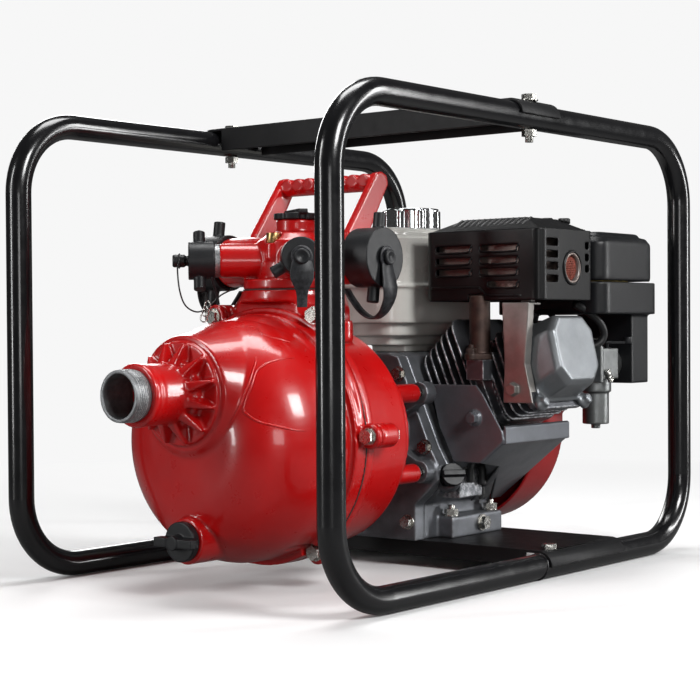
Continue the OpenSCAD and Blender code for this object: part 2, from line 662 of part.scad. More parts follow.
fin_up = 5;           // the fins stand higher above the bore than below
fin_grow = 2;         // each fin towards the head stands this much higher
barrel_x = 56;       // half width of the fins along the shaft
module exhaust_room() block(exhaust_x - 27, exhaust_x + 27, exhaust_y - 17, exhaust_y + 17, exhaust_z,
  400);
// the exhaust port stands out of the head beside the bore; d leaves a gap round it
module exhaust_port(d) difference() {
  block(exhaust_x - 18 - d, cyl_x - 30 + d, exhaust_y - 16 - d, exhaust_y + 5 + d, 198 - d, exhaust_z + d);
  on_cylinder() translate([0, 0, 40]) cylinder(h = deck - 40, r = 44 - d);
}
module cylinder_barrel() color("#8e9194") difference() {
  on_cylinder() barrel_casting();
  exhaust_room();
  exhaust_port(0.3);
}
module barrel_casting() difference() {
  union() {
    translate([0, 0, 62]) cylinder(h = deck - 62, r = 41);
    for (k = [0:5]) translate([0, fin_up + k * fin_grow, 68 + k * fin_pitch]) linear_extrude(fin_t)
      rounded(2 * barrel_x, 106 + 2 * k * fin_grow, 16);
    translate([0, 0, deck - 8]) linear_extrude(8) rounded(96, 92, 10);
  }
  translate([0, 0, 40]) cylinder(h = 100, r = piston_r);
}
module cylinder_head() color("#a2a5a8") difference() {
  union() {
    on_cylinder() {
      translate([0, 0, deck + 0.1]) linear_extrude(10) rounded(96, 92, 10);
      translate([0, 0, deck + 5]) linear_extrude(head_z1 - deck - 5) rounded(78, 78, 14);
      for (k = [0:3]) translate([0, 0, deck + 12 + k * fin_pitch]) linear_extrude(fin_t)
        rounded(2 * barrel_x - 14, 92, 14);
      translate([0, 0, head_z1 - 7]) linear_extrude(7) rounded(100, 96, 12);
      translate([30, 0, deck + 26]) block(0, 43, -24, 12, 0, 24);
    }
    exhaust_port(0);
  }
  on_cylinder() translate([0, 0, deck]) cylinder(h = 8, r = 30);
  translate([exhaust_x, exhaust_y, 200]) cylinder(h = 40, r = 9);
  exhaust_room();
  on_cylinder() for (x = [-1, 1]) translate([x * 16, 0, deck + 6]) cylinder(h = 60, r = 11);
}
cover_z0 = head_z1 + 0.2;
cover_h = 43;
function octagon(w, h, c) = [[-w, -h + c], [-w + c, -h], [w - c, -h], [w, -h + c], [w, h - c], [w - c,
  h], [-w + c, h], [-w, h - c]];
module valve_cover() color("#b4b7ba") on_cylinder() {
  translate([0, 0, cover_z0]) linear_extrude(5) {
    rounded(84, 84, 10);
    for (sx = [-1, 1], sy = [-1, 1]) translate([sx * 42, sy * 43]) circle(9);
  }
  hull() {
    translate([0, 0, cover_z0 + 4]) linear_extrude(1) polygon(octagon(44, 39, 16));
    translate([0, 2, cover_z0 + cover_h - 8]) rotate([10, 0, 0]) linear_extrude(1) polygon(octagon(41,
      37, 16));
    translate([0, 2, cover_z0 + cover_h - 2]) rotate([10, 0, 0]) linear_extrude(1) polygon(octagon(37,
      33, 14));
  }
  for (sx = [-1, 1], sy = [-1, 1]) translate([sx * 42, sy * 43, cover_z0 + 5]) {
    cylinder(h = 1.5, r = 7.5);
    hex(6.5, 7);
  }
}
exhaust_x = 44;
exhaust_y = -110;
exhaust_z = 219;
guard_x0 = 37;
guard_x1 = 142;
guard_y0 = -190;
guard_y1 = -44;
guard_z0 = 280;
guard_z1 = 354;
guard_corner = 10;
module exhaust_pipe() color("#6b5850") {
  difference() {
    union() {
      translate([exhaust_x, exhaust_y, exhaust_z + 0.1]) linear_extrude(6) hull() {
        circle(16, $fn = 32);
        for (s = [-1, 1]) translate([s * 19, s * 2]) circle(7, $fn = 32);
      }
      translate([exhaust_x, exhaust_y, exhaust_z + 5]) cylinder(h = guard_z0 + 6 - exhaust_z - 5, r = 11);
    }
    translate([exhaust_x, exhaust_y, exhaust_z - 1]) cylinder(h = 90, r = 9);
  }
  for (s = [-1, 1]) translate([exhaust_x + s * 19, exhaust_y + s * 2, exhaust_z + 6]) {
    hex(6, 6);
    cylinder(h = 10, r = 3);
  }
}
module muffler_box() color("#4a423e") difference() {
  union() {
    block(guard_x0 + 10, guard_x1 - 12, guard_y0 + 12, guard_y1 - 12, guard_z0 + 6.2, guard_z1 - 6);
    for (z = [298, 330]) block(guard_x0 + 8.5, guard_x1 - 10.5, guard_y0 + 10.5, guard_y1 - 10.5, z,
      z + 3);
    cyl_y(guard_y0 - 1, guard_y0 + 18, 15.5, outlet_x, outlet_mz);
  }
  block(guard_x0 + 13, guard_x1 - 15, guard_y0 + 15, guard_y1 - 15, guard_z0 + 9, guard_z1 - 9);
  cyl_y(guard_y0 - 2, guard_y0 + 22, 14, outlet_x, outlet_mz);
  translate([exhaust_x + 9, exhaust_y, guard_z0]) cylinder(h = 12, r = 5);
}
outlet_x = 97;
outlet_mz = 314;
slot_zs = [334.5, 322, 310, 297];
module slot_x(y0, y1, z) block(guard_x0 - 5, guard_x0 + 8, y0, y1, z - 3.3, z + 3.3);
module guard_block(d, z0, z1) translate([(guard_x0 + guard_x1) / 2, (guard_y0 + guard_y1) / 2, z0])
  linear_extrude(z1 - z0) rounded(guard_x1 - guard_x0 - 2 * d, guard_y1 - guard_y0 - 2 * d, guard_corner - d);
module muffler_guard() color("#141517") difference() {
  union() {
    guard_block(0, guard_z0, guard_z1);
    hull() {
      block(guard_x0 + 4, guard_x1 - 4, guard_y0 + 4, guard_y1 - 4, guard_z1 - 3, guard_z1 - 0.5);
      block(guard_x0 + 26, guard_x1 - 20, guard_y0 + 34, guard_y1 - 34, guard_z1, guard_z1 + 13);
    }
  }
  guard_block(2, guard_z0 - 1, guard_z1 - 4);
  cyl_y(guard_y0 - 2, guard_y0 + 8, 17, outlet_x, outlet_mz);
  translate([exhaust_x, exhaust_y, guard_z0 - 1]) cylinder(h = 8, r = 11.5);
  for (k = [0:2]) slot_x(-104, -59, slot_zs[k]);
  for (k = [0:3]) slot_x(-162, k == 3 ? -125 : -115, slot_zs[k]);
  for (k = [0:3]) block(guard_x0 + 11, guard_x0 + 33, guard_y0 - 5, guard_y0 + 8, slot_zs[k] + 2,
    slot_zs[k] + 9);
  for (k = [0:2]) block(guard_x1 - 18, guard_x1 - 11, guard_y0 - 5, guard_y0 + 8, slot_zs[k],
    slot_zs[k] + 7);
}
bracket_x = 34;
module muffler_bracket() color("#a9a39c") union() {
  plate_yz(bracket_x, bracket_x + 2.5) polygon([[-144, 278], [-177, 278], [-172, 215], [-181, 175],
    [-145, 175], [-147, 215]]);
  block(bracket_x, bracket_x + 26, -175, -146, 275.5, 278);
  block(bracket_x + 18, bracket_x + 26, -168, -156, 277.9, guard_z0 + 6.1);
  plate_yz(bracket_x + 2, bracket_x + 11) polygon([[-177, 278], [-175, 278], [-170, 215], [-176.5,
    186], [-178.5, 186], [-172, 215]]);
  hex_x(bracket_x - 6.5, -158, 189, 7, 7);
}
shroud_x0 = 24;
shroud_x1 = 150;
lip_y = -152;
lip_z = 136;
slope_end_y = -64;
slope_end_z = 65;
slope_l = sqrt((slope_end_y - lip_y) ^ 2 + (lip_z - slope_end_z) ^ 2);
slope_a = atan2(slope_end_z - lip_z, slope_end_y - lip_y);
module lower_shroud() color("#8d9296") {
  plate_yz(shroud_x0, shroud_x0 + 2.5) polygon([[-60, 193], [-118, 193], [-126, 184], [-150, 146],
    [lip_y, lip_z], [-122, 112],
    [-90, 112], [-84, 124], [-71, 150]]);
  plate_yz(shroud_x0 + 2, shroud_x1) polygon([[lip_y - 2, lip_z - 3], [lip_y + 1, lip_z - 4],
    [lip_y + 1, lip_z + 16],
    [lip_y - 2, lip_z + 14]]);
  translate([0, lip_y, lip_z - 2]) rotate([slope_a, 0, 0]) linear_extrude(2.5)
    polygon([[shroud_x0 + 1, 0.4], [shroud_x1 - 0.5, 0.4], [shroud_x1 - 0.5, slope_l], [shroud_x1 - 18,
      slope_l], [shroud_x0 + 44, 46], [shroud_x0 + 1, 36]]);
  cyl_x(shroud_x0 - 3, shroud_x0 + 1, 8, -117, 159);
  hex_x(shroud_x0 - 9, -117, 159, 6.5, 7);
}
blower_r = 112;
blower_x1 = 206;
module blower_outline(d) {
  intersection() {
    circle(blower_r - d);
    translate([-150, -150]) square([300, 150 + tank_z0 - 2 - axis_z - d]);
  }
  polygon([[-70, -30], [-130 + d, 30 + d], [-130 + d, 82], [-104, 116 - 1.5 * d], [-34 - d, 106 - d],
    [-34 - d, 60], [0, 0]]);
}
module blower_housing() color("#b5151b") difference() {
  translate([case_x1 + 7, 0, axis_z]) rotate([90, 0, 90]) linear_extrude(blower_x1 - case_x1 - 7)
    blower_outline(0);
  translate([case_x1 + 6, 0, axis_z]) rotate([90, 0, 90]) linear_extrude(blower_x1 - case_x1 - 9)
    blower_outline(3);
  cyl_x(blower_x1 - 10, blower_x1 + 1, 70, 0, axis_z);
  cyl_x(blower_x1 - 10, blower_x1 + 1, switch_stub_r + run, switch_y, switch_z);
}
recoil_x1 = 246;
recoil_r = 80;
module recoil_cover() color("#b5151b") {
  cyl_x(209, recoil_x1 - 1, 6, 0, axis_z);
  recoil_shell();
}
module recoil_shell() difference() {
  union() {
    cyl_x(blower_x1 + 0.2, recoil_x1 - 8, recoil_r, 0, axis_z);
    cyl_x(recoil_x1 - 9, recoil_x1, recoil_r - 12, 0, axis_z);
    block(blower_x1 + 0.2, recoil_x1 - 8, -16, 16, axis_z + 40, axis_z + 92);
  }
  cyl_x(blower_x1 - 1, recoil_x1 - 11, recoil_r - 3, 0, axis_z);
  cyl_x(blower_x1 - 1, recoil_x1 - 3, recoil_r - 16, 0, axis_z);
  for (k = [0:17]) rotate_about_shaft(k * 20) translate([0, 30, 0]) block(recoil_x1 - 5, recoil_x1 + 1,
    0, 26, -2.5, 2.5);
  translate([recoil_pull_x, 0, axis_z + 60]) cylinder(h = 40, r = 3.2);
}
recoil_pull_x = 225;
reel_r = 45;
module recoil_reel() color("#303235") difference() {
  union() {
    cyl_x(214, 217, reel_r + 6, 0, axis_z);
    cyl_x(216.9, 227.1, reel_r, 0, axis_z);
    cyl_x(227, 230, reel_r + 6, 0, axis_z);
    cyl_x(210, 234, 12, 0, axis_z);
  }
  cyl_x(209, 235, 6 + run, 0, axis_z);
}
grip_top = axis_z + 93;
module recoil_handle() color("#1d1f21") {
  translate([recoil_pull_x, 0, grip_top]) cylinder(h = 10, r1 = 7, r2 = 9);
  translate([recoil_pull_x, 0, grip_top + 15]) rotate([0, 90, 90]) cylinder(h = 76, r = 8, center = true);
  translate([recoil_pull_x, 0, grip_top - 26]) cylinder(h = 30, r = 1.8);
}
tank_x0 = 13;
tank_x1 = 212;
tank_y0 = -22;
tank_y1 = 132;
tank_z0 = 234;
tank_z1 = 361;
seam_z = 298;
module tank_plan(d) translate([(tank_x0 + tank_x1) / 2, (tank_y0 + tank_y1) / 2])
  rounded(tank_x1 - tank_x0 - 2 * d, tank_y1 - tank_y0 - 2 * d, 26 - d);
module tank_solid(d) {
  translate([0, 0, tank_z0 + 24 + d]) linear_extrude(tank_z1 - 10 - tank_z0 - 24 - 2 * d) tank_plan(d);
  translate([0, 0, tank_z1 - 12]) linear_extrude(8 - d) tank_plan(4 + d);
  translate([0, 0, tank_z1 - 6]) linear_extrude(6 - d) tank_plan(9 + d);
  translate([0, 0, tank_z0 + 10 + d]) linear_extrude(16) tank_plan(8 + d);
  translate([0, 0, tank_z0 + d]) linear_extrude(12) tank_plan(18 + d);
}
cap_x = 116;
cap_y = 32;
module fuel_tank() color("#d6d4ce") difference() {
  union() {
    tank_solid(0);
    translate([0, 0, seam_z - 2]) linear_extrude(4) tank_plan(-3);
    translate([cap_x, cap_y, tank_z1 - 4]) cylinder(h = 12, r = 22);
    block(60, 130, 0, 46, case_top + 0.1, tank_z0 + 2);
  }
  tank_solid(2);
  translate([cap_x, cap_y, tank_z1 - 20]) cylinder(h = 40, r = 18);
}
module fuel_cap() color("#c8cacc") difference() {
  union() {
    translate([cap_x, cap_y, tank_z1 + 1]) cylinder(h = 24, r = 31);
    for (k = [0:7]) translate([cap_x, cap_y, tank_z1 + 1]) rotate([0, 0, k * 45 + 10]) translate([28.5,
      0, 0]) cylinder(h = 22, r = 6);
  }
  translate([cap_x, cap_y, tank_z1]) cylinder(h = 8.5, r = 22 + run);
}
ac_x0 = 148;
ac_x1 = 271;
ac_y0 = -196;
ac_y1 = -60;
ac_seam = 301;
ac_top = 355;
module ac_plan(d) translate([(ac_x0 + ac_x1) / 2, (ac_y0 + ac_y1) / 2]) rounded(ac_x1 - ac_x0 - 2 * d,
  ac_y1 - ac_y0 - 2 * d, 16);
module air_cleaner_lid() color("#1f2124") difference() {
  union() {
    translate([0, 0, ac_seam]) linear_extrude(44) ac_plan(2);
    translate([0, 0, ac_seam + 43]) linear_extrude(6) ac_plan(5);
    translate([0, 0, ac_seam + 48]) linear_extrude(6) ac_plan(12);
  }
  translate([0, 0, ac_seam - 1]) linear_extrude(41) ac_plan(5);
  translate([ac_mid_x, ac_mid_y, ac_seam]) cylinder(h = 80, r = 4.3);
}
ac_mid_x = (ac_x0 + ac_x1) / 2;
ac_mid_y = (ac_y0 + ac_y1) / 2;
duct_x0 = 222;
duct_x1 = 259;
module air_cleaner_base() color("#1f2124") {
  difference() {
    union() {
      translate([0, 0, 266]) linear_extrude(ac_seam - 0.2 - 266) ac_plan(-1.5);
      block(duct_x0, duct_x1, -190, -122, 190, 267);
      }
    translate([0, 0, 269]) linear_extrude(60) ac_plan(1);
    block(duct_x0 + 3, duct_x1 - 3, -187, -125, 193, 272);
    cyl_x(duct_x0 - 1, duct_x0 + 4, 14, carb_y, carb_z);
  }
  translate([ac_mid_x, ac_mid_y, 268]) cylinder(h = 94, r = 3);
  cyl_x(duct_x1 - 0.5, duct_x1 + 16, 4, -176, 211);
}
module air_filter() color("#d8c27a") difference() {
  translate([ac_mid_x, ac_mid_y, 271]) linear_extrude(62) rounded(78, 104, 24);
  translate([ac_mid_x, ac_mid_y, 270]) linear_extrude(64) rounded(46, 72, 14);
}
module air_cleaner_nut() color("#3a3d40") difference() {
  translate([ac_mid_x, ac_mid_y, ac_top + 0.3]) {
    cylinder(h = 6, r = 7);
    translate([0, 0, 3]) cube([30, 4, 6], center = true);
  }
  translate([ac_mid_x, ac_mid_y, ac_top - 1]) cylinder(h = 7.6, r = 3 + run);
}
carb_x = 195;
carb_y = -160;
carb_z = 212;
lever_z = 234;
choke_y = carb_y - 14;
throttle_y = carb_y + 14;
pivot_r = 2.5;
module carburettor() color("#9b9ea1") difference() {
  union() {
    block(163, 168, carb_y - 26, carb_y + 26, 192, 232);
    cyl_x(167, duct_x0 - 0.2, 18, carb_y, carb_z);
    block(176, 208, carb_y - 21, carb_y + 21, 196, 229);
    translate([carb_x, carb_y, 181]) cylinder(h = 16, r = 17);
    translate([carb_x, carb_y, 146]) cylinder(h = 36, r = 14.5);
    translate([carb_x, carb_y, 141]) cylinder(h = 6, r = 5);
  }
  cyl_x(160, duct_x0 + 1, 11, carb_y, carb_z);
  for (y = [choke_y, throttle_y]) translate([carb_x, y, lever_z - 12]) cylinder(h = 20,
    r = pivot_r + run);
}
module lever(y, len, turn) translate([carb_x, y, lever_z]) {
  translate([0, 0, -7]) cylinder(h = 8, r = pivot_r);
  rotate([0, 0, turn]) {
    cylinder(h = 2.5, r = 6);
    block(0, len, -4, 4, 0, 2.5);
    translate([len, 0, 0]) cylinder(h = 7, r = 5);
  }
}
module choke_lever() color("#2b2d30") lever(choke_y, 23, -60);
module throttle_lever() color("#5d6063") lever(throttle_y, 18, 32);
module spark_lead() color("#141414") on_cylinder() translate([34, 56, head_z1 - 22]) {
  rotate([-50, 0, 0]) cylinder(h = 14, r = 8);
  sphere(8);
}
oil_x = 26;
oil_y = -83;
oil_z = 94;
oil_r = 9;
oil_boss = 9;
module at_oil() translate([oil_x, oil_y, oil_z]) rotate([65, 0, -37.4]) children();
module oil_cap() color("#17181a") at_oil() {
  translate([0, 0, oil_boss + 0.2]) cylinder(h = 6, r = 12.5);
  translate([0, 0, 1]) cylinder(h = oil_boss, r = oil_r - run);
  translate([0, 0, -20]) cylinder(h = 22, r = 3);
  translate([0, 0, oil_boss + 8]) cube([24, 6, 6], center = true);
}
switch_y = -118;
switch_z = 212;
switch_stub_r = 4;
module engine_switch() color("#b51a1a") {
  cyl_x(blower_x1 - 3, blower_x1 + 1, switch_stub_r, switch_y, switch_z);
  cyl_x(blower_x1 + 0.1, blower_x1 + 4, 9, switch_y, switch_z);
  block(blower_x1 + 3, blower_x1 + 10, switch_y - 2.5, switch_y + 2.5, switch_z - 9, switch_z + 9);
}
tube_bend_r = 11;
tube_hose_r = 4.5;
breather_x = 67;
breather_y = -89;
breather_z = 98;
module breather_tube() color("#161718") {
  translate([breather_x, breather_y, breather_z]) rotate([90, 0, 0]) rotate_extrude(angle = 180)
    translate([tube_bend_r, 0]) circle(tube_hose_r);
  translate([breather_x + tube_bend_r, breather_y, 84]) cylinder(h = breather_z - 84, r = tube_hose_r);
  translate([breather_x - tube_bend_r, breather_y, 88]) cylinder(h = breather_z - 88, r = tube_hose_r);
}

hoop_near();
hoop_far();
top_crossbar();
base_channel();
frame_bolts();
pump_bowl();
pump_casing();
casing_gasket();
casing_bolts();
engine_adapter();
inlet_nipple();
check_flap();
drain_plug();
discharge_manifold();
manifold_gasket();
outlet_nipples();
cap_near();
cap_far();
cap_front_near();
cap_front_far();
cap_straps();
priming_cap();
brass_plug();
stage_diffuser();
impeller_first();
impeller_second();
shaft_seal();
crankshaft();
main_bearings();
flywheel();
camshaft();
piston();
crankcase();
side_cover();
engine_bolts();
cylinder_barrel();
cylinder_head();
valve_cover();
exhaust_pipe();
muffler_bracket();
muffler_box();
muffler_guard();
lower_shroud();
blower_housing();
recoil_cover();
recoil_reel();
recoil_handle();
fuel_tank();
fuel_cap();
air_cleaner_base();
air_cleaner_lid();
air_filter();
air_cleaner_nut();
carburettor();
choke_lever();
throttle_lever();
spark_lead();
oil_cap();
engine_switch();
breather_tube();
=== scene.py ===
"""Portable fire pump: finishes, cast edges, hoses, straps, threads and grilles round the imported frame."""
import math

import bmesh
import bpy
from mathutils import Matrix, Vector, noise
from mathutils.bvhtree import BVHTree


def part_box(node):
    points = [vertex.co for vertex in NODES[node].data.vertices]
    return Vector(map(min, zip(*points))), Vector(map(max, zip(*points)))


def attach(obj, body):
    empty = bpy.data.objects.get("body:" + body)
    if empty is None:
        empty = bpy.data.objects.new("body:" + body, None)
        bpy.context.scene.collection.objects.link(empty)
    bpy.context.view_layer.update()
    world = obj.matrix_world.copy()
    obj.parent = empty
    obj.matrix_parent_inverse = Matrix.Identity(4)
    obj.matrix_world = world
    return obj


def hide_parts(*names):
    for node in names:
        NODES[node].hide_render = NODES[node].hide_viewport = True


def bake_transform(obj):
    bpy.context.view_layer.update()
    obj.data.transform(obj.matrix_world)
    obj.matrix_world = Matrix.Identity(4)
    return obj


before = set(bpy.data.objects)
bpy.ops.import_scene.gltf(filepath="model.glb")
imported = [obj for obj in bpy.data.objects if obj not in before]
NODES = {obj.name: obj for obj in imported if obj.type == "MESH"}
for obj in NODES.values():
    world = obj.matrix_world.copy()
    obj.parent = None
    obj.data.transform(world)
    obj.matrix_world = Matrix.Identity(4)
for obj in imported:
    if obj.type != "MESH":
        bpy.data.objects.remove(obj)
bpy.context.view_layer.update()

MM = 0.001
noise.seed_set(7)          # Blender seeds its noise offsets by the clock otherwise
scene = bpy.context.scene


def mm(*v):
    """A point given in millimetres."""
    return Vector(v) * MM


# ---------------------------------------------------------------- materials
def material(name, base, rough, metal=0.0, coat=0.0, vary=0.25, scale=40.0, grain=900.0, bump=0.15,
             wear=None, wear_at=0.62, hollow_shade=0.5, rough_vary=0.12, wave=0.0, fine=1.0, spec=0.5):
    """Procedural finish: tone drift, grain bump, worn edges and painted shade in the corners and hollows.
    """
    m = bpy.data.materials.new(name)
    m.use_nodes = True
    nt = m.node_tree
    nodes, link = nt.nodes, nt.links.new
    bsdf = nodes["Principled BSDF"]
    coord = nodes.new("ShaderNodeTexCoord")

    def tex(size, detail, rough_):
        n = nodes.new("ShaderNodeTexNoise")
        n.inputs["Scale"].default_value = size
        n.inputs["Detail"].default_value = detail
        n.inputs["Roughness"].default_value = rough_
        link(coord.outputs["Object"], n.inputs["Vector"])
        return n

    def ramp(src, stops):
        n = nodes.new("ShaderNodeValToRGB")
        n.color_ramp.elements[0].position, n.color_ramp.elements[0].color = stops[0]
        n.color_ramp.elements[1].position, n.color_ramp.elements[1].color = stops[1]
        link(src, n.inputs["Fac"])
        return n

    def mix(fac, a, b, mode="MIX"):
        n = nodes.new("ShaderNodeMix")
        n.data_type = "RGBA"
        n.blend_type = mode
        for sock, val in ((n.inputs[0], fac), (n.inputs[6], a), (n.inputs[7], b)):
            if isinstance(val, (float, tuple)):
                sock.default_value = val
            else:
                link(val, sock)
        return n.outputs[2]

    light = (*base, 1.0)
    dark = tuple(c * (1 - vary) for c in base) + (1.0,)
    big = tex(scale, 5.0, 0.6)
    tone = ramp(big.outputs["Fac"], ((0.35, dark), (0.68, light))).outputs["Color"]
    geo = nodes.new("ShaderNodeNewGeometry")
    # painted shade: hollows and creases, where pointiness is low, are darkened like ambient occlusion
    if hollow_shade:
        low = ramp(geo.outputs["Pointiness"], ((0.40, (1 - hollow_shade,) * 3 + (1.0,)), (0.50, (1.0,) * 4)))
        tone = mix(1.0, tone, low.outputs["Color"], "MULTIPLY")
    if wear:
        edge = ramp(geo.outputs["Pointiness"], ((wear_at - 0.07, (0, 0, 0, 1)), (wear_at, (1, 1, 1, 1))))
        rub = tex(scale * 4, 6.0, 0.7)
        spots = ramp(rub.outputs["Fac"], ((0.42, (0, 0, 0, 1)), (0.6, (1, 1, 1, 1))))
        worn = mix(1.0, edge.outputs["Color"], spots.outputs["Color"], "MULTIPLY")
        tone = mix(worn, tone, (*wear, 1.0))
    link(tone, bsdf.inputs["Base Color"])
    span = nodes.new("ShaderNodeMapRange")
    link(tex(scale * 2.3, 6.0, 0.65).outputs["Fac"], span.inputs["Value"])
    span.inputs["To Min"].default_value = max(0.02, rough - rough_vary)
    span.inputs["To Max"].default_value = min(1.0, rough + rough_vary)
    link(span.outputs["Result"], bsdf.inputs["Roughness"])
    bsdf.inputs["Metallic"].default_value = metal
    bsdf.inputs["Specular IOR Level"].default_value = spec
    bsdf.inputs["Coat Weight"].default_value = coat
    bsdf.inputs["Coat Roughness"].default_value = 0.08
    grain_bump = nodes.new("ShaderNodeBump")
    grain_bump.inputs["Strength"].default_value = bump
    grain_bump.inputs["Distance"].default_value = 0.0004 * fine
    link(tex(grain, 4.0, 0.6).outputs["Fac"], grain_bump.inputs["Height"])
    if wave:
        slow = nodes.new("ShaderNodeBump")
        slow.inputs["Strength"].default_value = wave
        slow.inputs["Distance"].default_value = 0.002
        link(tex(26.0, 2.0, 0.5).outputs["Fac"], slow.inputs["Height"])
        link(slow.outputs["Normal"], grain_bump.inputs["Normal"])
        link(slow.outputs["Normal"], bsdf.inputs["Coat Normal"])
    link(grain_bump.outputs["Normal"], bsdf.inputs["Normal"])
    return m


MAT = {
    "tube": material("tube_black", (0.006, 0.006, 0.007), 0.22, coat=0.35, vary=0.3, scale=30, grain=420,
        bump=0.08, wear=(0.08, 0.08, 0.08), hollow_shade=0.0, wave=0.03),
    "sheet": material("sheet_black", (0.006, 0.006, 0.007), 0.52, vary=0.3, scale=34, grain=700, bump=0.12,
        wear=(0.08, 0.08, 0.08), hollow_shade=0.0, wave=0.03, spec=0.3),
    "red": material("red_enamel", (0.56, 0.0025, 0.003), 0.30, coat=0.55, vary=0.14, scale=14, grain=520,
        bump=0.07, wear=(0.72, 0.07, 0.05), wear_at=0.66, hollow_shade=0.6, wave=0.07),
    "red_plastic": material("red_cowl", (0.36, 0.006, 0.008), 0.38, coat=0.2, vary=0.2, scale=18,
        grain=700, bump=0.12, hollow_shade=0.4, wave=0.05),
    "galv": material("galvanised", (0.33, 0.34, 0.35), 0.46, metal=0.85, vary=0.35, scale=120, grain=1400,
        bump=0.35, wear=(0.7, 0.7, 0.7), hollow_shade=0.4),
    "rubber": material("cap_black", (0.011, 0.012, 0.014), 0.44, spec=0.4, vary=0.35, scale=60, grain=1500,
        bump=0.18, wear=(0.09, 0.09, 0.10), hollow_shade=0.3),
    "guard": material("guard_black", (0.0045, 0.0045, 0.005), 0.42, coat=0.08, spec=0.25, vary=0.3,
        scale=40, grain=900, bump=0.12, wear=(0.10, 0.10, 0.10), wear_at=0.64, hollow_shade=0.2, wave=0.05),
    "plastic": material("lid_black", (0.008, 0.0085, 0.010), 0.36, spec=0.35, vary=0.25, scale=50,
        grain=1700, bump=0.30, wear=(0.06, 0.06, 0.065), hollow_shade=0.2),
    "alu": material("cast_alloy", (0.22, 0.23, 0.25), 0.42, metal=0.75, vary=0.35, scale=34, grain=1100,
        bump=0.45, wear=(0.62, 0.63, 0.65), wear_at=0.60, hollow_shade=0.75, wave=0.12),
    # the fins' near-white edge colour is partly edge wear and partly a painted highlight on the fin edges
    "fin": material("fin_alloy", (0.15, 0.155, 0.17), 0.40, metal=0.75, vary=0.35, scale=40, grain=1100,
        bump=0.35, wear=(0.80, 0.81, 0.83), wear_at=0.57, hollow_shade=0.8),
    "cover": material("cover_alloy", (0.27, 0.285, 0.30), 0.38, metal=0.8, vary=0.2, scale=30, grain=1300,
        bump=0.3, wear=(0.8, 0.8, 0.82), hollow_shade=0.6, wave=0.06),
    "zinc": material("zinc_bolt", (0.60, 0.59, 0.55), 0.26, metal=1.0, vary=0.3, scale=160, grain=1800,
        bump=0.2, wear=(0.85, 0.85, 0.85), hollow_shade=0.4),
    "brass": material("brass", (0.55, 0.36, 0.15), 0.30, metal=1.0, vary=0.25, scale=140, grain=1500,
        bump=0.2, hollow_shade=0.4),
    "heat": material("heat_stained", (0.085, 0.050, 0.040), 0.50, metal=0.45, vary=0.6, scale=70,
        grain=900, bump=0.5, wear=(0.30, 0.20, 0.15), hollow_shade=0.5),
    "muffler": material("muffler_steel", (0.26, 0.21, 0.19), 0.42, metal=0.75, vary=0.4, scale=50,
        grain=1000, bump=0.3, wear=(0.45, 0.38, 0.34), hollow_shade=0.4),
    "plate": material("plated_steel", (0.36, 0.34, 0.32), 0.40, metal=0.75, vary=0.35, scale=26,
        grain=1200, bump=0.2, wear=(0.85, 0.85, 0.84), hollow_shade=0.3, wave=0.05),
    "tank": material("tank_paint", (0.62, 0.61, 0.57), 0.30, coat=0.35, vary=0.12, scale=10, grain=700,
        bump=0.06, wear=(0.7, 0.7, 0.68), hollow_shade=0.35, wave=0.04),
    "chrome": material("cap_chrome", (0.66, 0.67, 0.68), 0.16, metal=1.0, vary=0.12, scale=60, grain=900,
        bump=0.05, hollow_shade=0.4),
    "shroud": material("shroud_grey", (0.17, 0.18, 0.20), 0.36, metal=0.45, coat=0.25, vary=0.25, scale=24,
        grain=900, bump=0.15, wear=(0.45, 0.46, 0.48), hollow_shade=0.4, wave=0.06),
    # painted shade: the die-cast grey is kept dark for the shadow the carburettor sits in
    "diecast": material("die_cast_zinc", (0.28, 0.29, 0.29), 0.38, metal=0.9, vary=0.3, scale=60,
        grain=1300, bump=0.3, wear=(0.8, 0.8, 0.8), hollow_shade=0.6),
    "bronze": material("bronze", (0.40, 0.24, 0.10), 0.38, metal=0.95, vary=0.3, scale=60, grain=1100,
        bump=0.3),
    "steel": material("ground_steel", (0.42, 0.43, 0.45), 0.30, metal=1.0, vary=0.25, scale=50, grain=1300,
        bump=0.15),
    "gasket": material("gasket_grey", (0.05, 0.05, 0.05), 0.7, vary=0.3, scale=200, grain=1500, bump=0.4),
    "foam": material("filter_foam", (0.55, 0.42, 0.16), 0.9, vary=0.35, scale=300, grain=800, bump=1.0,
        fine=2.0),
    "hose": material("hose_black", (0.012, 0.012, 0.013), 0.42, vary=0.3, scale=80, grain=1200, bump=0.25),
    "wire": material("lead_blue", (0.03, 0.16, 0.36), 0.4, vary=0.2, scale=90, grain=1200, bump=0.1),
    "screen": material("screen_rust", (0.30, 0.07, 0.045), 0.55, metal=0.5, vary=0.5, scale=180,
        grain=1400, bump=0.4),
    "switch": material("switch_red", (0.50, 0.01, 0.01), 0.35, coat=0.2, vary=0.15, scale=60, grain=900,
        bump=0.1),
}

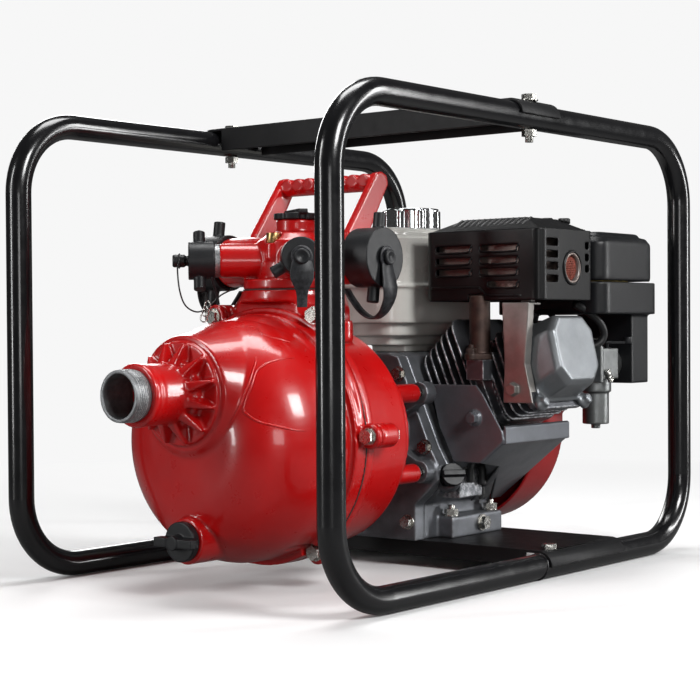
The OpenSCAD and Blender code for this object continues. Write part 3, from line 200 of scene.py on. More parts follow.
NODE_MAT = {
    "tube": "hoop_near hoop_far",
    "sheet": "top_crossbar base_channel",
    "red": "pump_bowl pump_casing engine_adapter discharge_manifold",
    "red_plastic": "blower_housing recoil_cover",
    "galv": "inlet_nipple outlet_nipples",
    "rubber": "cap_near cap_far cap_front_near cap_front_far cap_straps priming_cap drain_plug check_flap "
              "oil_cap recoil_handle recoil_reel choke_lever",
    "guard": "muffler_guard",
    "plastic": "air_cleaner_base air_cleaner_lid air_cleaner_nut",
    "alu": "crankcase side_cover",
    "fin": "cylinder_barrel cylinder_head",
    "cover": "valve_cover",
    "zinc": "frame_bolts casing_bolts engine_bolts",
    "brass": "brass_plug",
    "heat": "exhaust_pipe",
    "muffler": "muffler_box",
    "plate": "muffler_bracket",
    "tank": "fuel_tank",
    "chrome": "fuel_cap",
    "shroud": "lower_shroud",
    "diecast": "carburettor throttle_lever",
    "bronze": "impeller_first impeller_second",
    "steel": "crankshaft main_bearings flywheel camshaft piston stage_diffuser shaft_seal",
    "gasket": "casing_gasket manifold_gasket",
    "foam": "air_filter",
    "hose": "spark_lead breather_tube",
    "switch": "engine_switch",
}
for key, names in NODE_MAT.items():
    for node_name in names.split():
        data = NODES[node_name].data
        data.materials.clear()
        data.materials.append(MAT[key])

# ---------------------------------------------------------------- cast edges on the CAD nodes
# voxel size in mm and smoothing rounds for each casting or moulding
CAST = {
    "pump_bowl": (1.4, 5), "pump_casing": (1.7, 7), "engine_adapter": (1.8, 5),
    "discharge_manifold": (1.2, 7), "crankcase": (1.6, 6), "side_cover": (1.5, 5),
    "cylinder_barrel": (0.9, 2), "cylinder_head": (1.0, 3), "valve_cover": (1.3, 13),
    "fuel_tank": (1.2, 7), "fuel_cap": (1.0, 5), "air_cleaner_lid": (1.6, 20),
    "air_cleaner_base": (1.2, 5), "blower_housing": (1.5, 6), "recoil_cover": (1.2, 5),
    "cap_near": (0.8, 5), "cap_far": (0.8, 5), "cap_front_near": (0.7, 5), "cap_front_far": (0.7, 5),
    "priming_cap": (0.7, 5), "drain_plug": (0.7, 5), "oil_cap": (0.6, 5), "carburettor": (0.9, 4),
    "muffler_guard": (0.9, 4), "recoil_handle": (0.8, 5), "inlet_nipple": (0.8, 3),
    "lower_shroud": (0.9, 3), "muffler_bracket": (0.7, 3), "breather_tube": (0.8, 3),
    "exhaust_pipe": (0.8, 3),
}
for node_name, (voxel, rounds) in CAST.items():
    obj = NODES[node_name]
    remesh = obj.modifiers.new("cast_skin", "REMESH")
    remesh.mode = "VOXEL"
    remesh.voxel_size = voxel * MM
    remesh.use_smooth_shade = True
    soft = obj.modifiers.new("cast_fillet", "SMOOTH")
    soft.factor = 0.5
    soft.iterations = rounds

# bevel width in mm for each machined, bent or bolted part
BEVEL = {
    "frame_bolts": 0.5, "casing_bolts": 0.5, "engine_bolts": 0.5, "brass_plug": 0.8, "top_crossbar": 1.0,
    "base_channel": 1.0, "engine_switch": 0.8, "air_cleaner_nut": 0.6, "choke_lever": 0.6,
    "throttle_lever": 0.6, "flywheel": 0.8, "muffler_box": 1.0,
}
for node_name, width in BEVEL.items():
    obj = NODES[node_name]
    weld = obj.modifiers.new("weld", "WELD")
    weld.merge_threshold = 0.00001
    bevel = obj.modifiers.new("edge", "BEVEL")
    bevel.width = width * MM
    bevel.segments = 2
    bevel.limit_method = "ANGLE"
    bevel.angle_limit = math.radians(40)
    bevel.harden_normals = True


# ---------------------------------------------------------------- mesh builders
def piece(name, bm, body, mat, smooth=True):
    """Makes a named object from bm in one material; body is what it rides on, if anything yet."""
    bmesh.ops.recalc_face_normals(bm, faces=bm.faces)
    mesh = bpy.data.meshes.new(name)
    bm.to_mesh(mesh)
    bm.free()
    for poly in mesh.polygons:
        poly.use_smooth = smooth
    mesh.materials.append(MAT[mat])
    obj = bpy.data.objects.new(name, mesh)
    scene.collection.objects.link(obj)
    if body:
        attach(obj, body)
    return obj


def spline(points, steps=10, closed=False):
    """Catmull-Rom curve through the points."""
    n = len(points)
    out = []
    for i in range(n if closed else n - 1):
        p = [points[(i + k) % n] if closed else points[min(max(i + k, 0), n - 1)] for k in (-1, 0, 1, 2)]
        for s in range(steps):
            t = s / steps
            out.append(0.5 * ((2 * p[1]) + (p[2] - p[0]) * t
                + (2 * p[0] - 5 * p[1] + 4 * p[2] - p[3]) * t * t
                + (3 * p[1] - p[0] - 3 * p[2] + p[3]) * t ** 3))
    if not closed:
        out.append(points[-1].copy())
    return out


def disc(r, n=12):
    return [(r * math.cos(2 * math.pi * k / n), r * math.sin(2 * math.pi * k / n)) for k in range(n)]


def band(w, t, c=0.35):
    """Section of a flat strap, w wide and t thick, with eased corners."""
    a, b, e = w / 2, t / 2, t * c
    return [(-a + e, -b), (a - e, -b), (a, -b + e), (a, b - e), (a - e, b), (-a + e, b), (-a, b - e),
        (-a, -b + e)]


def sweep(bm, path, section, up=None, closed=False, width=None):
    """Carries a section along a path; up keeps a strap from twisting; width(t) scales across."""
    rings = []
    n = len(path)
    side = None
    for i, p in enumerate(path):
        a = path[(i - 1) % n] if closed or i else path[i]
        b = path[(i + 1) % n] if closed or i < n - 1 else path[i]
        d = (b - a).normalized()
        if up is not None:
            side = up.cross(d).normalized() if up.cross(d).length > 1e-6 else side
            side = side if side is not None else d.orthogonal().normalized()
        else:
            side = d.orthogonal().normalized() if side is None else (side - d * side.dot(d)).normalized()
        v = d.cross(side)
        k = width(i / (n - 1)) if width else 1.0
        rings.append([bm.verts.new(p + side * v_ + v * (u * k)) if up is not None else
                      bm.verts.new(p + side * u * k + v * v_) for u, v_ in section])
    m = len(section)
    for i in range(n if closed else n - 1):
        r0, r1 = rings[i], rings[(i + 1) % n]
        for k in range(m):
            bm.faces.new((r0[k], r0[(k + 1) % m], r1[(k + 1) % m], r1[k]))
    if not closed:
        bm.faces.new(rings[0][::-1])
        bm.faces.new(rings[-1])


def lathe(bm, origin, axis, profile, steps=48):
    """Turns (distance along axis, radius) points about an axis; radius 0 closes the end."""
    z = Vector(axis).normalized()
    x = z.orthogonal().normalized()
    y = z.cross(x)
    rings = []
    for d, r in profile:
        if r < 1e-9:
            rings.append([bm.verts.new(origin + z * d)])
        else:
            rings.append([bm.verts.new(origin + z * d + (x * math.cos(2 * math.pi * k / steps)
                          + y * math.sin(2 * math.pi * k / steps)) * r) for k in range(steps)])
    for r0, r1 in zip(rings, rings[1:]):
        for k in range(steps):
            j = (k + 1) % steps
            if len(r0) == 1:
                bm.faces.new((r0[0], r1[k], r1[j]))
            elif len(r1) == 1:
                bm.faces.new((r0[k], r0[j], r1[0]))
            else:
                bm.faces.new((r0[k], r0[j], r1[j], r1[k]))


def tube(name, points, radius, body, mat, steps=10, sides=12, closed=False, wobble=0.0):
    bm = bmesh.new()
    path = spline([mm(*p) for p in points], steps, closed)
    if wobble:
        path = [p + Vector(noise.noise_vector(p * 60)) * wobble * MM for p in path]
    sweep(bm, path, disc(radius * MM, sides), closed=closed)
    return piece(name, bm, body, mat)


def turned(name, origin, axis, profile, body, mat, steps=48):
    bm = bmesh.new()
    lathe(bm, mm(*origin), axis, [(d * MM, r * MM) for d, r in profile], steps)
    return piece(name, bm, body, mat)


def rows(bm, points, radius, sides=8):
    """Adds a round bead along a polyline in mm to bm."""
    sweep(bm, [mm(*p) for p in points], disc(radius * MM, sides))


# ---------------------------------------------------------------- pump details
nip_lo, nip_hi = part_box("inlet_nipple")
inlet_z = (nip_lo.z + nip_hi.z) / 2 / MM
inlet_r = (nip_hi.z - nip_lo.z) / 2 / MM
mouth_x = nip_lo.x / MM
THREAD_PITCH = 2.31
THREAD_TURNS = 7
THREAD_SIDES = 64
THREAD_LEAD_IN = 1.6
THREAD_SINK = 0.9          # how far the run-out of the thread lies under the nipple's surface
THREAD_RISE = 0.75
bm = bmesh.new()
path = []
for k in range(THREAD_TURNS * THREAD_SIDES + 1):
    a = 2 * math.pi * k / THREAD_SIDES
    fade = min(1.0, k / THREAD_SIDES, (THREAD_TURNS * THREAD_SIDES - k) / THREAD_SIDES)
    r = inlet_r - THREAD_SINK + THREAD_RISE * fade
    path.append(mm(mouth_x + THREAD_LEAD_IN + THREAD_PITCH * k / THREAD_SIDES, r * math.cos(a),
        inlet_z + r * math.sin(a)))
sweep(bm, path, [(-0.0009, -0.0007), (0.0009, -0.0007), (0.00025, 0.0006), (-0.00025, 0.0006)])
piece("inlet_thread", bm, "frame", "galv", smooth=False)

# pressed contour lines on the bowl, laid on its surface from (x, angle above the near side)
bpy.context.view_layer.update()
bowl_tree = BVHTree.FromObject(NODES["pump_bowl"], bpy.context.evaluated_depsgraph_get())
AXIS_Z = 0.144             # pump shaft height, m
OUTSIDE = 0.2              # a ray starts this far from the shaft
BEAD_R = 0.0012
BEAD_SINK = 0.0004
BOWL_LINES = {
    "bowl_panel_edge": ((-224, 44.3), (-247, 46.6), (-255, 46.5), (-261, 44.7), (-269, 36.9), (-274, 29.5),
        (-274, 23.7), (-268, 15.2), (-251, 9.3), (-238, 7.8)),
    "bowl_crease": ((-279.3, 23.0), (-276.5, 29.7), (-272.8, 35.3), (-268.3, 40.6), (-261, 47),
        (-252, 53)),
    "bowl_top_edge": ((-224.7, 70.2), (-230, 65), (-226, 60.5), (-212, 54.6)),
}
for name, spots in BOWL_LINES.items():
    line = []
    for x, deg in spots:
        a = math.radians(deg)
        out = Vector((0, -math.cos(a), math.sin(a)))
        start = Vector((x * MM, 0, AXIS_Z)) + out * OUTSIDE
        hit = bowl_tree.ray_cast(start, -out)[0]
        line.append(hit)
    bm = bmesh.new()
    path = []
    for p in spline(line, 12):
        away = Vector((0, p.y, p.z - AXIS_Z)).normalized()
        hit = bowl_tree.ray_cast(p + away * 0.03, -away)[0]
        path.append((hit or p) - away * BEAD_SINK)
    sweep(bm, path, disc(BEAD_R, 10), width=lambda t: min(1.0, 0.15 + 6 * min(t, 1 - t)))
    piece(name, bm, "frame", "red")

cap_lo, cap_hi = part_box("cap_near")
man_x = (cap_lo.x + cap_hi.x) / 2 / MM
out_z = (cap_lo.z + cap_hi.z) / 2 / MM
near_end = -cap_lo.y / MM          # end of the near cap's button, from the axis


def port_point(angle, d, side, z):
    """Point at distance d out along a port and side across it, in mm."""
    a = math.radians(angle)
    return (man_x + d * math.cos(a) - side * math.sin(a), d * math.sin(a) + side * math.cos(a), z)


STRAP_T = 2.6
RING_EASE = 0.0006
# strap width along its length, as (place, share of the full width)
PEAR = ((0.0, 0.75), (0.10, 0.85), (0.24, 1.0), (0.42, 0.72), (0.55, 0.48), (1.0, 0.42))
HANG = ((0.0, 0.80), (0.30, 1.0), (0.45, 0.96), (0.66, 0.55), (0.78, 0.45), (1.0, 0.42))


def along(shape, t):
    """Value at t of a line through (t, value) points."""
    for (t0, v0), (t1, v1) in zip(shape, shape[1:]):
        if t <= t1:
            return v0 + (v1 - v0) * (t - t0) / (t1 - t0)
    return shape[-1][1]


def strap(name, angle, button_d, points, body, wide=22.0, shape=PEAR, ring=11.0, hole=6.0):
    """Rubber strap: a flat ring on the cap button, a pear-shaped plate, then a band along the points."""
    bm = bmesh.new()
    path = spline([mm(*port_point(angle, *p)) for p in points], 12)
    a = math.radians(angle)
    side_up = Vector((-math.sin(a), math.cos(a), 0))
    rings = []
    n = len(path)
    for i, p in enumerate(path):
        d = (path[min(i + 1, n - 1)] - path[max(i - 1, 0)]).normalized()
        v = d.cross(side_up).normalized()
        k = along(shape, i / (n - 1))
        rings.append([bm.verts.new(p + side_up * (u * k) + v * w)
                      for u, w in band(wide * MM, STRAP_T * MM)])
    m = len(rings[0])
    for r0, r1 in zip(rings, rings[1:]):
        for k in range(m):
            bm.faces.new((r0[k], r0[(k + 1) % m], r1[(k + 1) % m], r1[k]))
    bm.faces.new(rings[0][::-1])
    bm.faces.new(rings[-1])
    out = Vector((math.cos(a), math.sin(a), 0))
    centre = mm(*port_point(angle, button_d, 0, out_z))
    t = STRAP_T / 2 * MM
    rim = ring * MM
    lathe(bm, centre, out, [(-t, hole * MM), (-t, rim - RING_EASE), (-t * 0.5, rim), (t * 0.5, rim),
                            (t, rim - RING_EASE), (t, hole * MM), (-t, hole * MM)])
    return piece(name, bm, body, "rubber")


near_d = near_end - 5.0
s_near = strap("strap_near", 270, near_d, [(near_d, 0, out_z - 6), (near_d + 1.5, 0, out_z - 16),
    (near_d + 4, 0, out_z - 30), (near_d + 2, 0, out_z - 42), (near_d - 6, 0, out_z - 54),
    (near_d - 17, 0, out_z - 58.5), (near_d - 30, 0, out_z - 53), (near_d - 41, 0, out_z - 42),
    (near_d - 50, 0, out_z - 30)], "frame")
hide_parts("cap_straps")
strap("strap_far", 90, near_d, [(near_d, 0, out_z - 6), (near_d + 1.5, 0, out_z - 16),
    (near_d + 4, 0, out_z - 30), (near_d + 1, 0, out_z - 44), (near_d - 8, 0, out_z - 54),
    (near_d - 20, 0, out_z - 57), (near_d - 32, 0, out_z - 51), (near_d - 42, 0, out_z - 40),
    (near_d - 50, 0, out_z - 30)], "frame")
SMALL_D = 109.0
strap("strap_front_near", 225, SMALL_D, [(SMALL_D, 0, out_z - 4), (SMALL_D + 0.5, 0, out_z - 12),
    (SMALL_D + 0.5, 0, out_z - 24), (SMALL_D, 0, out_z - 36), (SMALL_D - 1, 0, out_z - 48)], "frame",
    wide=23.0, shape=HANG, ring=10.5)
strap("strap_front_far", 135, 80.0, [(82, 0, out_z - 17), (80, 0, out_z - 24), (77, 0, out_z - 34),
    (75, 0, out_z - 44)], "frame", wide=22.0, shape=((0, 1.0), (0.35, 0.7), (0.7, 0.35), (1.0, 0.25)),
    ring=18.8, hole=17.0)
# thin tether from the left cap's stub, round to the base of the manifold
LEFT = 135                 # the small port on the far side points this way
WIRE_R = 0.8
EYE_R = 7.0
stub_d = SMALL_D + 5.0
tube("tether_wire", [port_point(LEFT, stub_d, EYE_R, out_z + 1),
    port_point(LEFT, stub_d + 2, 10, out_z - 8), port_point(LEFT, stub_d, 15, out_z - 30),
    port_point(LEFT, 108, 6, out_z - 45), port_point(LEFT, 96, -4, out_z - 51),
    port_point(LEFT, 84, -14, out_z - 45), port_point(LEFT, 72, -26, out_z - 34),
    port_point(LEFT, 60, -34, out_z - 28)], WIRE_R, "frame", "hose", steps=14)
tube("tether_eye", [port_point(LEFT, stub_d + 0.3 * math.sin(k), EYE_R * math.cos(k * math.pi / 6),
    out_z + EYE_R * math.sin(k * math.pi / 6)) for k in range(12)], WIRE_R, "frame", "hose", steps=4,
    closed=True)
bm = bmesh.new()
for k in range(3):          # three split rings, each hanging in the last
    c = mm(-203 - k * 1.5, 47 + k, 276 - k * 5.5)
    ring_path = [c + Vector((0.001 * math.sin(a * 2), math.cos(a) * 0.0042, math.sin(a) * 0.0052))
                 for a in [2 * math.pi * j / 20 for j in range(20)]]
    sweep(bm, ring_path, disc(0.0007, 8), closed=True)
piece("tether_rings", bm, "frame", "zinc")

# rolled rings and centre dimple on the cap buttons
for label, angle, d, r, body in (("near", 270, near_end, 7.5, "outlet_cap_near"),
        ("far", 90, near_end, 7.5, "outlet_cap_far"),
        ("front_near", 225, 112.0, 7.5, "outlet_cap_front_near"),
        ("front_far", 135, 120.0, 6.5, "outlet_cap_front_far")):
    a = math.radians(angle)
    out = (math.cos(a), math.sin(a), 0)
    bm = bmesh.new()
    base = mm(*port_point(angle, d, 0, out_z))
    lathe(bm, base, out, [(-0.0012, r * MM), (0.0004, (r - 0.6) * MM), (0.0009, (r - 1.8) * MM),
        (0.0004, (r - 2.6) * MM), (0.0004, 0.002), (-0.0002, 0.0012), (-0.0002, 0)], 40)
    piece("cap_button_" + label, bm, body, "rubber")

# ---------------------------------------------------------------- roll frame details
HOOP_Y = 200.0
LOW_Z = 12.7
TUBE_R = 12.7
WELD_R = TUBE_R + 0.15
WELD_X = 11.5              # the joint's place along the lower tube
WELD_SKEW = 2.5
WELD_ROUGH = 0.5
for label, s in (("near", -1), ("far", 1)):
    ring = []
    for k in range(40):
        a = 2 * math.pi * k / 40
        jitter = WELD_ROUGH * noise.noise(Vector((k * 0.7, s * 3.0, 0.0)))
        ring.append((WELD_X + jitter + WELD_SKEW * math.cos(a), s * HOOP_Y + WELD_R * math.sin(a),
                     LOW_Z + WELD_R * math.cos(a)))
    tube("tube_joint_" + label, ring, 0.9, "frame", "tube", steps=3, sides=8, closed=True)

# ---------------------------------------------------------------- muffler guard details
g_lo, g_hi = [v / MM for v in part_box("muffler_guard")]
GUARD_FACE = g_lo.x - 0.3
bm = bmesh.new()
step = [(GUARD_FACE, -53, 294.4), (GUARD_FACE, -80, 294.2), (GUARD_FACE, -111, 294.2),
    (GUARD_FACE, -116, 292.5), (GUARD_FACE, -121, 287.5), (GUARD_FACE, -126, 285.6),
    (GUARD_FACE, -140, 285.2), (GUARD_FACE, -166, 285.0)]
rows(bm, [tuple(p / MM) for p in spline([mm(*p) for p in step], 8)], 1.1)
piece("guard_step", bm, "frame", "guard")
# pressed lips below each slot on the pump side
SLOT_Z = (334.5, 322.0, 310.0, 297.0)
bm = bmesh.new()
for k, z in enumerate(SLOT_Z):
    spans = [(-162, -125 if k == 3 else -115)] + ([(-104, -59)] if k < 3 else [])
    for y0, y1 in spans:
        lip = [(GUARD_FACE + 0.9, y0 - 1, z + 3.6), (GUARD_FACE - 0.3, y0 + 1, z + 0.5),
            (GUARD_FACE - 0.9, y0 + 3, z - 3.2), (GUARD_FACE - 1.0, (y0 + y1) / 2, z - 3.9),
            (GUARD_FACE - 0.9, y1 - 3, z - 3.2), (GUARD_FACE + 0.2, y1, z - 1.5)]
        sweep(bm, spline([mm(*p) for p in lip], 6), disc(0.0010, 8))
piece("guard_slot_lips", bm, "frame", "guard")
# slanted louvres along the crown, from its side edges up to its flat top
LOUVRES = 13
LOUVRE_PITCH = 7.2
bm = bmesh.new()
for k in range(LOUVRES):
    y = g_hi.y - 30 - k * LOUVRE_PITCH
    for side in (0, 1):
        x0 = g_lo.x + 10 if side == 0 else g_hi.x - 9
        x1 = g_lo.x + 25 if side == 0 else g_hi.x - 21
        sweep(bm, spline([mm(x0, y + 2.5, 355.2), mm((x0 + x1) / 2, y, 361.5), mm(x1, y - 2.5, 366.2)], 6),
            band(0.0036, 0.0018), up=Vector((0, 1, 0)))
piece("guard_louvres", bm, "frame", "guard")
for k, (x, y, r) in enumerate(((113, -150, 5.0), (130, -160, 5.6))):
    turned(f"guard_knob_{k + 1}", (x, y, 352), (0, 0, 1),
        [(0, 0), (0, r), (9, r), (10, r - 1.4), (10.4, r + 1.2), (15, r + 1.2), (16.2, r), (16.2, 0)],
        "frame", "guard", 24)
# outlet with a rolled rim, a dished screen and its mesh
OUT_X, OUT_Z, OUT_Y = 97.0, 314.0, g_lo.y
turned("outlet_rim", (OUT_X, OUT_Y, OUT_Z), (0, -1, 0),
    [(-4, 15.6), (1.0, 15.6), (2.0, 16.2), (2.0, 17.4), (0.8, 18.4), (-4, 18.4), (-4, 15.6)], "frame",
    "guard", 48)
turned("outlet_collar", (OUT_X, OUT_Y, OUT_Z), (0, -1, 0),
    [(-3.5, 13.6), (-0.6, 13.6), (0.4, 14.1), (0.4, 15.0), (-0.6, 15.4), (-3.5, 15.4), (-3.5, 13.6)],
    "frame", "plate", 48)
bm = bmesh.new()
SCREEN_R = 13.4
MESH_PITCH = 1.85
MESH_WIRE = 0.00045
DISH = 2.2
WEAVE = 0.30
for k in range(-7, 8):
    for flip in (0, 1):
        c = k * MESH_PITCH
        half = math.sqrt(max(0.0, SCREEN_R ** 2 - c * c))
        line = []
        for j in range(13):
            t = -half + 2 * half * j / 12
            dish = DISH * (1 - (c * c + t * t) / SCREEN_R ** 2)
            weave = WEAVE * math.sin(t * math.pi / MESH_PITCH + (k % 2) * math.pi) * (1 if flip else -1)
            u, w = (c, t) if flip else (t, c)
            line.append(mm(OUT_X + u, OUT_Y + 3.5 - dish + weave, OUT_Z + w))
        sweep(bm, line, disc(MESH_WIRE, 6))
piece("outlet_screen", bm, "frame", "screen")

# ---------------------------------------------------------------- engine details
tube("breather_hose", [(138, -168, 277), (150, -174, 271), (161, -180, 262), (169, -184, 252),
    (172, -184, 242), (168, -180, 234), (160, -172, 229)], 4.2, "frame", "hose", steps=10, wobble=0.5)
for k, (x, y, z, r) in enumerate(((181, -182.5, 203, 3.6), (186, -182.5, 196, 4.4))):
    turned(f"carb_screw_{k + 1}", (x, y, z), (0, -1, 0),
        [(0, 0), (0, r), (2.6, r), (3.4, r - 0.8), (3.4, r - 1.8), (1.6, r - 2.0), (1.6, 0)], "frame",
        "zinc", 28)
tube("control_rod", [(170, -150, 238.5), (184, -152, 239), (200, -156, 239), (214, -158, 238),
    (219, -158, 234)], 1.1, "frame", "zinc")
turned("duct_stud", (266, -176, 211), (1, 0, 0), [(0, 0), (0, 6.2), (3, 6.2), (4, 5.2), (4, 3.0),
    (11, 3.0), (12, 2.2), (12, 0)], "frame", "zinc", 6)
# spark lead, over the head to the coil
tube("plug_lead", [(124, -150, 262), (132, -140, 268), (141, -122, 268), (147, -104, 260), (151, -92, 246),
    (154, -84, 232)], 3.3, "frame", "hose", steps=10)


def panel(name, outline, y0, y1, mat, ease=1.6):
    """Flat cast panel facing the near side, from (x, z) corners in mm, with rounded edges."""
    bm = bmesh.new()
    front = [bm.verts.new(mm(x, y0, z)) for x, z in outline]
    rear = [bm.verts.new(mm(x, y1, z)) for x, z in outline]
    n = len(outline)
    bm.faces.new(front)
    bm.faces.new(rear[::-1])
    for k in range(n):
        bm.faces.new((front[k], front[(k + 1) % n], rear[(k + 1) % n], rear[k]))
    rim = [e for e in bm.edges if e.verts[0] in front and e.verts[1] in front]
    bmesh.ops.bevel(bm, geom=rim, offset=ease * MM, segments=3, profile=0.5, affect="EDGES")
    return piece(name, bm, "frame", mat, smooth=False)


def rounded_path(corners, steps=6):
    return [(p.x / MM, p.z / MM) for p in spline([mm(x, 0, z) for x, z in corners], steps)]


# raised wall of the sump above the foot, with its black seal, and the shroud's return beside it
panel("sump_wall", [(42, 72)] + rounded_path([(42, 88), (43.5, 95), (48, 99.5), (55, 101.5)])
    + [(72, 101.3)] + rounded_path([(76, 100.6), (81, 98), (83.6, 92), (84, 86)]) + [(84, 72)], -85, -60,
    "alu")
bm = bmesh.new()
rows(bm, [tuple(p / MM) for p in spline([mm(*p) for p in ((50, -84.6, 103), (60, -84.6, 103.4),
    (73, -84.6, 103), (81.5, -84.6, 100), (85.6, -84.6, 93), (86, -84.6, 85), (86, -84.6, 74),
    (86, -80, 68))], 8)], 1.5)
piece("sump_seal", bm, "frame", "gasket")
# the sloping shroud carries on beside the seal; (x, t) with t down the slope from the lip
SHROUD_LIP = (-152.0, 134.0)
SLOPE = math.atan2(65.0 - 136.0, 88.0)
bm = bmesh.new()
skin = ((69, 46), (80, 50), (86, 56), (89, 66), (90, 80), (91, 100), (93, 112), (126, 112), (96, 78))
sides = []
for lift in (0.1, 2.4):
    sides.append([bm.verts.new(mm(x, SHROUD_LIP[0] + t * math.cos(SLOPE) - lift * math.sin(SLOPE),
        SHROUD_LIP[1] + t * math.sin(SLOPE) + lift * math.cos(SLOPE))) for x, t in skin])
bm.faces.new(sides[0])
bm.faces.new(sides[1][::-1])
for k in range(len(skin)):
    j = (k + 1) % len(skin)
    bm.faces.new((sides[0][k], sides[0][j], sides[1][j], sides[1][k]))
piece("shroud_return", bm, "frame", "shroud", smooth=False)
# low oil switch lead by the sump
tube("oil_lead_black", [(27, -66, 112), (20, -72, 118), (16, -70, 130), (17, -60, 140), (20, -54, 150)],
    1.4, "frame", "hose")
tube("oil_lead_blue", [(27, -63, 112), (19, -66, 119), (15, -63, 131), (16, -54, 141), (19, -48, 150)],
    1.2, "frame", "wire")

# ---------------------------------------------------------------- recoil rope
h_lo, h_hi = [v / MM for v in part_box("recoil_handle")]
rope_x = (h_lo.x + h_hi.x) / 2
rc_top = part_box("recoil_cover")[1].z / MM
bm = bmesh.new()
ROPE_STEPS = 60
ROPE_LAY = 0.8             # how far each strand winds from the rope's middle
ROPE_BELOW = 14
ROPE_LONG = 17
ROPE_TURNS = 5
STRAND_R = 0.0011
for s in range(3):
    line = []
    for j in range(ROPE_STEPS + 1):
        t = j / ROPE_STEPS
        a = 2 * math.pi * (t * ROPE_TURNS + s / 3)
        line.append(mm(rope_x + ROPE_LAY * math.cos(a), ROPE_LAY * math.sin(a),
            rc_top - ROPE_BELOW + ROPE_LONG * t))
    sweep(bm, line, disc(STRAND_R, 8))
rope = piece("recoil_rope", bm, None, "tank")
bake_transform(rope)

# ---------------------------------------------------------------- stage: floor, light and camera
FLOOR_R = 9.0
bm = bmesh.new()
bmesh.ops.create_circle(bm, cap_ends=True, segments=96, radius=FLOOR_R)
mesh = bpy.data.meshes.new("floor")
bm.to_mesh(mesh)
bm.free()
floor = bpy.data.objects.new("floor", mesh)
floor.location.z = -0.0006      # just under the tubes, so the two never share a plane
scene.collection.objects.link(floor)
fm = bpy.data.materials.new("floor_paper")
fm.use_nodes = True
fn, fl = fm.node_tree.nodes, fm.node_tree.links.new
shader = fn["Principled BSDF"]
shader.inputs["Roughness"].default_value = 0.8
shader.inputs["Specular IOR Level"].default_value = 0.1
speck = fn.new("ShaderNodeTexNoise")
speck.inputs["Scale"].default_value = 300
floor_bump = fn.new("ShaderNodeBump")
floor_bump.inputs["Strength"].default_value = 0.02
fl(speck.outputs["Fac"], floor_bump.inputs["Height"])
fl(floor_bump.outputs["Normal"], shader.inputs["Normal"])
seen = fn.new("ShaderNodeLightPath")
tone = fn.new("ShaderNodeMapRange")             # paper looks pale, but reflects softly on the paint
tone.inputs["To Min"].default_value = 0.20
tone.inputs["To Max"].default_value = 0.90
fl(seen.outputs["Is Camera Ray"], tone.inputs["Value"])
fl(tone.outputs["Result"], shader.inputs["Base Color"])
far = fn.new("ShaderNodeNewGeometry")
length = fn.new("ShaderNodeVectorMath")
length.operation = "LENGTH"
fl(far.outputs["Position"], length.inputs[0])
fade = fn.new("ShaderNodeMapRange")
fade.inputs["From Min"].default_value = 0.55
fade.inputs["From Max"].default_value = 1.5
fl(length.outputs["Value"], fade.inputs["Value"])
glow = fn.new("ShaderNodeEmission")
glow_level = fn.new("ShaderNodeMapRange")
glow_level.inputs["To Min"].default_value = 0.08
glow_level.inputs["To Max"].default_value = 0.93
fl(seen.outputs["Is Camera Ray"], glow_level.inputs["Value"])
fl(glow_level.outputs["Result"], glow.inputs["Strength"])
both = fn.new("ShaderNodeMixShader")
fl(fade.outputs["Result"], both.inputs[0])
fl(shader.outputs["BSDF"], both.inputs[1])
fl(glow.outputs["Emission"], both.inputs[2])
fl(both.outputs["Shader"], fn["Material Output"].inputs["Surface"])
mesh.materials.append(fm)

world = bpy.data.worlds.new("studio")
scene.world = world
world.use_nodes = True
wn, wl = world.node_tree.nodes, world.node_tree.links
back = wn["Background"]
back.inputs["Color"].default_value = (1, 1, 1, 1)
rays = wn.new("ShaderNodeLightPath")
pale = wn.new("ShaderNodeMapRange")
pale.inputs["To Min"].default_value = 0.055     # soft fill on the object
pale.inputs["To Max"].default_value = 0.93     # what the camera sees
wl.new(rays.outputs["Is Camera Ray"], pale.inputs["Value"])
wl.new(pale.outputs["Result"], back.inputs["Strength"])


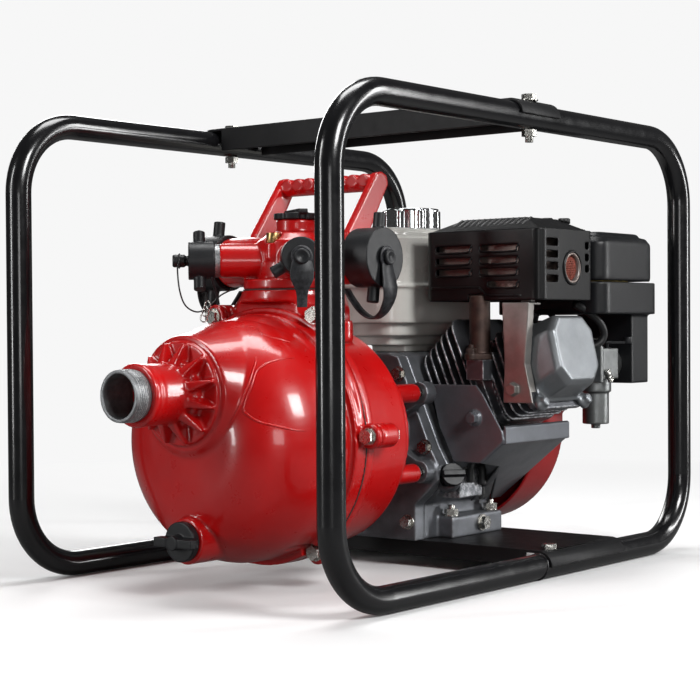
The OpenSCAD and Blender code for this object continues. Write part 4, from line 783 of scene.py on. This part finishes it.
def softbox(name, where, aim, size, power, tint=(1, 1, 1)):
    light = bpy.data.lights.new(name, "AREA")
    light.shape = "RECTANGLE"
    light.size, light.size_y = size
    light.energy = power
    light.color = tint
    obj = bpy.data.objects.new(name, light)
    obj.location = where
    obj.rotation_mode = "QUATERNION"
    obj.rotation_quaternion = (Vector(aim) - Vector(where)).to_track_quat("-Z", "Y")
    scene.collection.objects.link(obj)


softbox("key", (-0.5, -2.2, 1.5), (0, 0, 0.2), (0.8, 0.8), 50)
softbox("left_strip", (-2.1, 0.9, 0.8), (-0.1, 0, 0.25), (0.22, 1.6), 20)
softbox("right_strip", (1.5, -1.7, 0.7), (0.1, 0, 0.25), (0.22, 1.6), 26)
softbox("front_low", (-2.0, -1.9, 0.35), (0.05, -0.05, 0.12), (0.7, 0.5), 6)
softbox("top", (0.1, 0.1, 2.0), (0, 0, 0.2), (1.1, 0.7), 22)
softbox("rim", (1.3, 1.9, 1.2), (0, 0, 0.25), (0.8, 1.2), 20)

# camera where the photographer stood
PHOTO_PX = 700
FOCAL_PX = 1686
SHIFT_PX = 8.4
SENSOR = 36.0
CAM_AT = Vector((-1.4175, -1.1077, 0.2549))
YAW, PITCH, ROLL = (math.radians(v) for v in (38.73, -1.10, -0.36))
forward = Vector((math.cos(PITCH) * math.cos(YAW), math.cos(PITCH) * math.sin(YAW), math.sin(PITCH)))
right0 = Vector((math.sin(YAW), -math.cos(YAW), 0))
up0 = right0.cross(forward)
right = right0 * math.cos(ROLL) + up0 * math.sin(ROLL)
up = up0 * math.cos(ROLL) - right0 * math.sin(ROLL)
cam_data = bpy.data.cameras.new("camera")
cam_data.sensor_width = SENSOR
cam_data.lens = FOCAL_PX / PHOTO_PX * SENSOR
cam_data.shift_y = SHIFT_PX / PHOTO_PX
cam_data.clip_start, cam_data.clip_end = 0.05, 60
camera = bpy.data.objects.new("camera", cam_data)
camera.matrix_world = Matrix.Translation(CAM_AT) @ Matrix((right, up, -forward)).transposed().to_4x4()
scene.collection.objects.link(camera)
scene.camera = camera
scene.view_settings.view_transform = "Standard"
scene.view_settings.look = "None"
scene.view_settings.exposure = 0.0
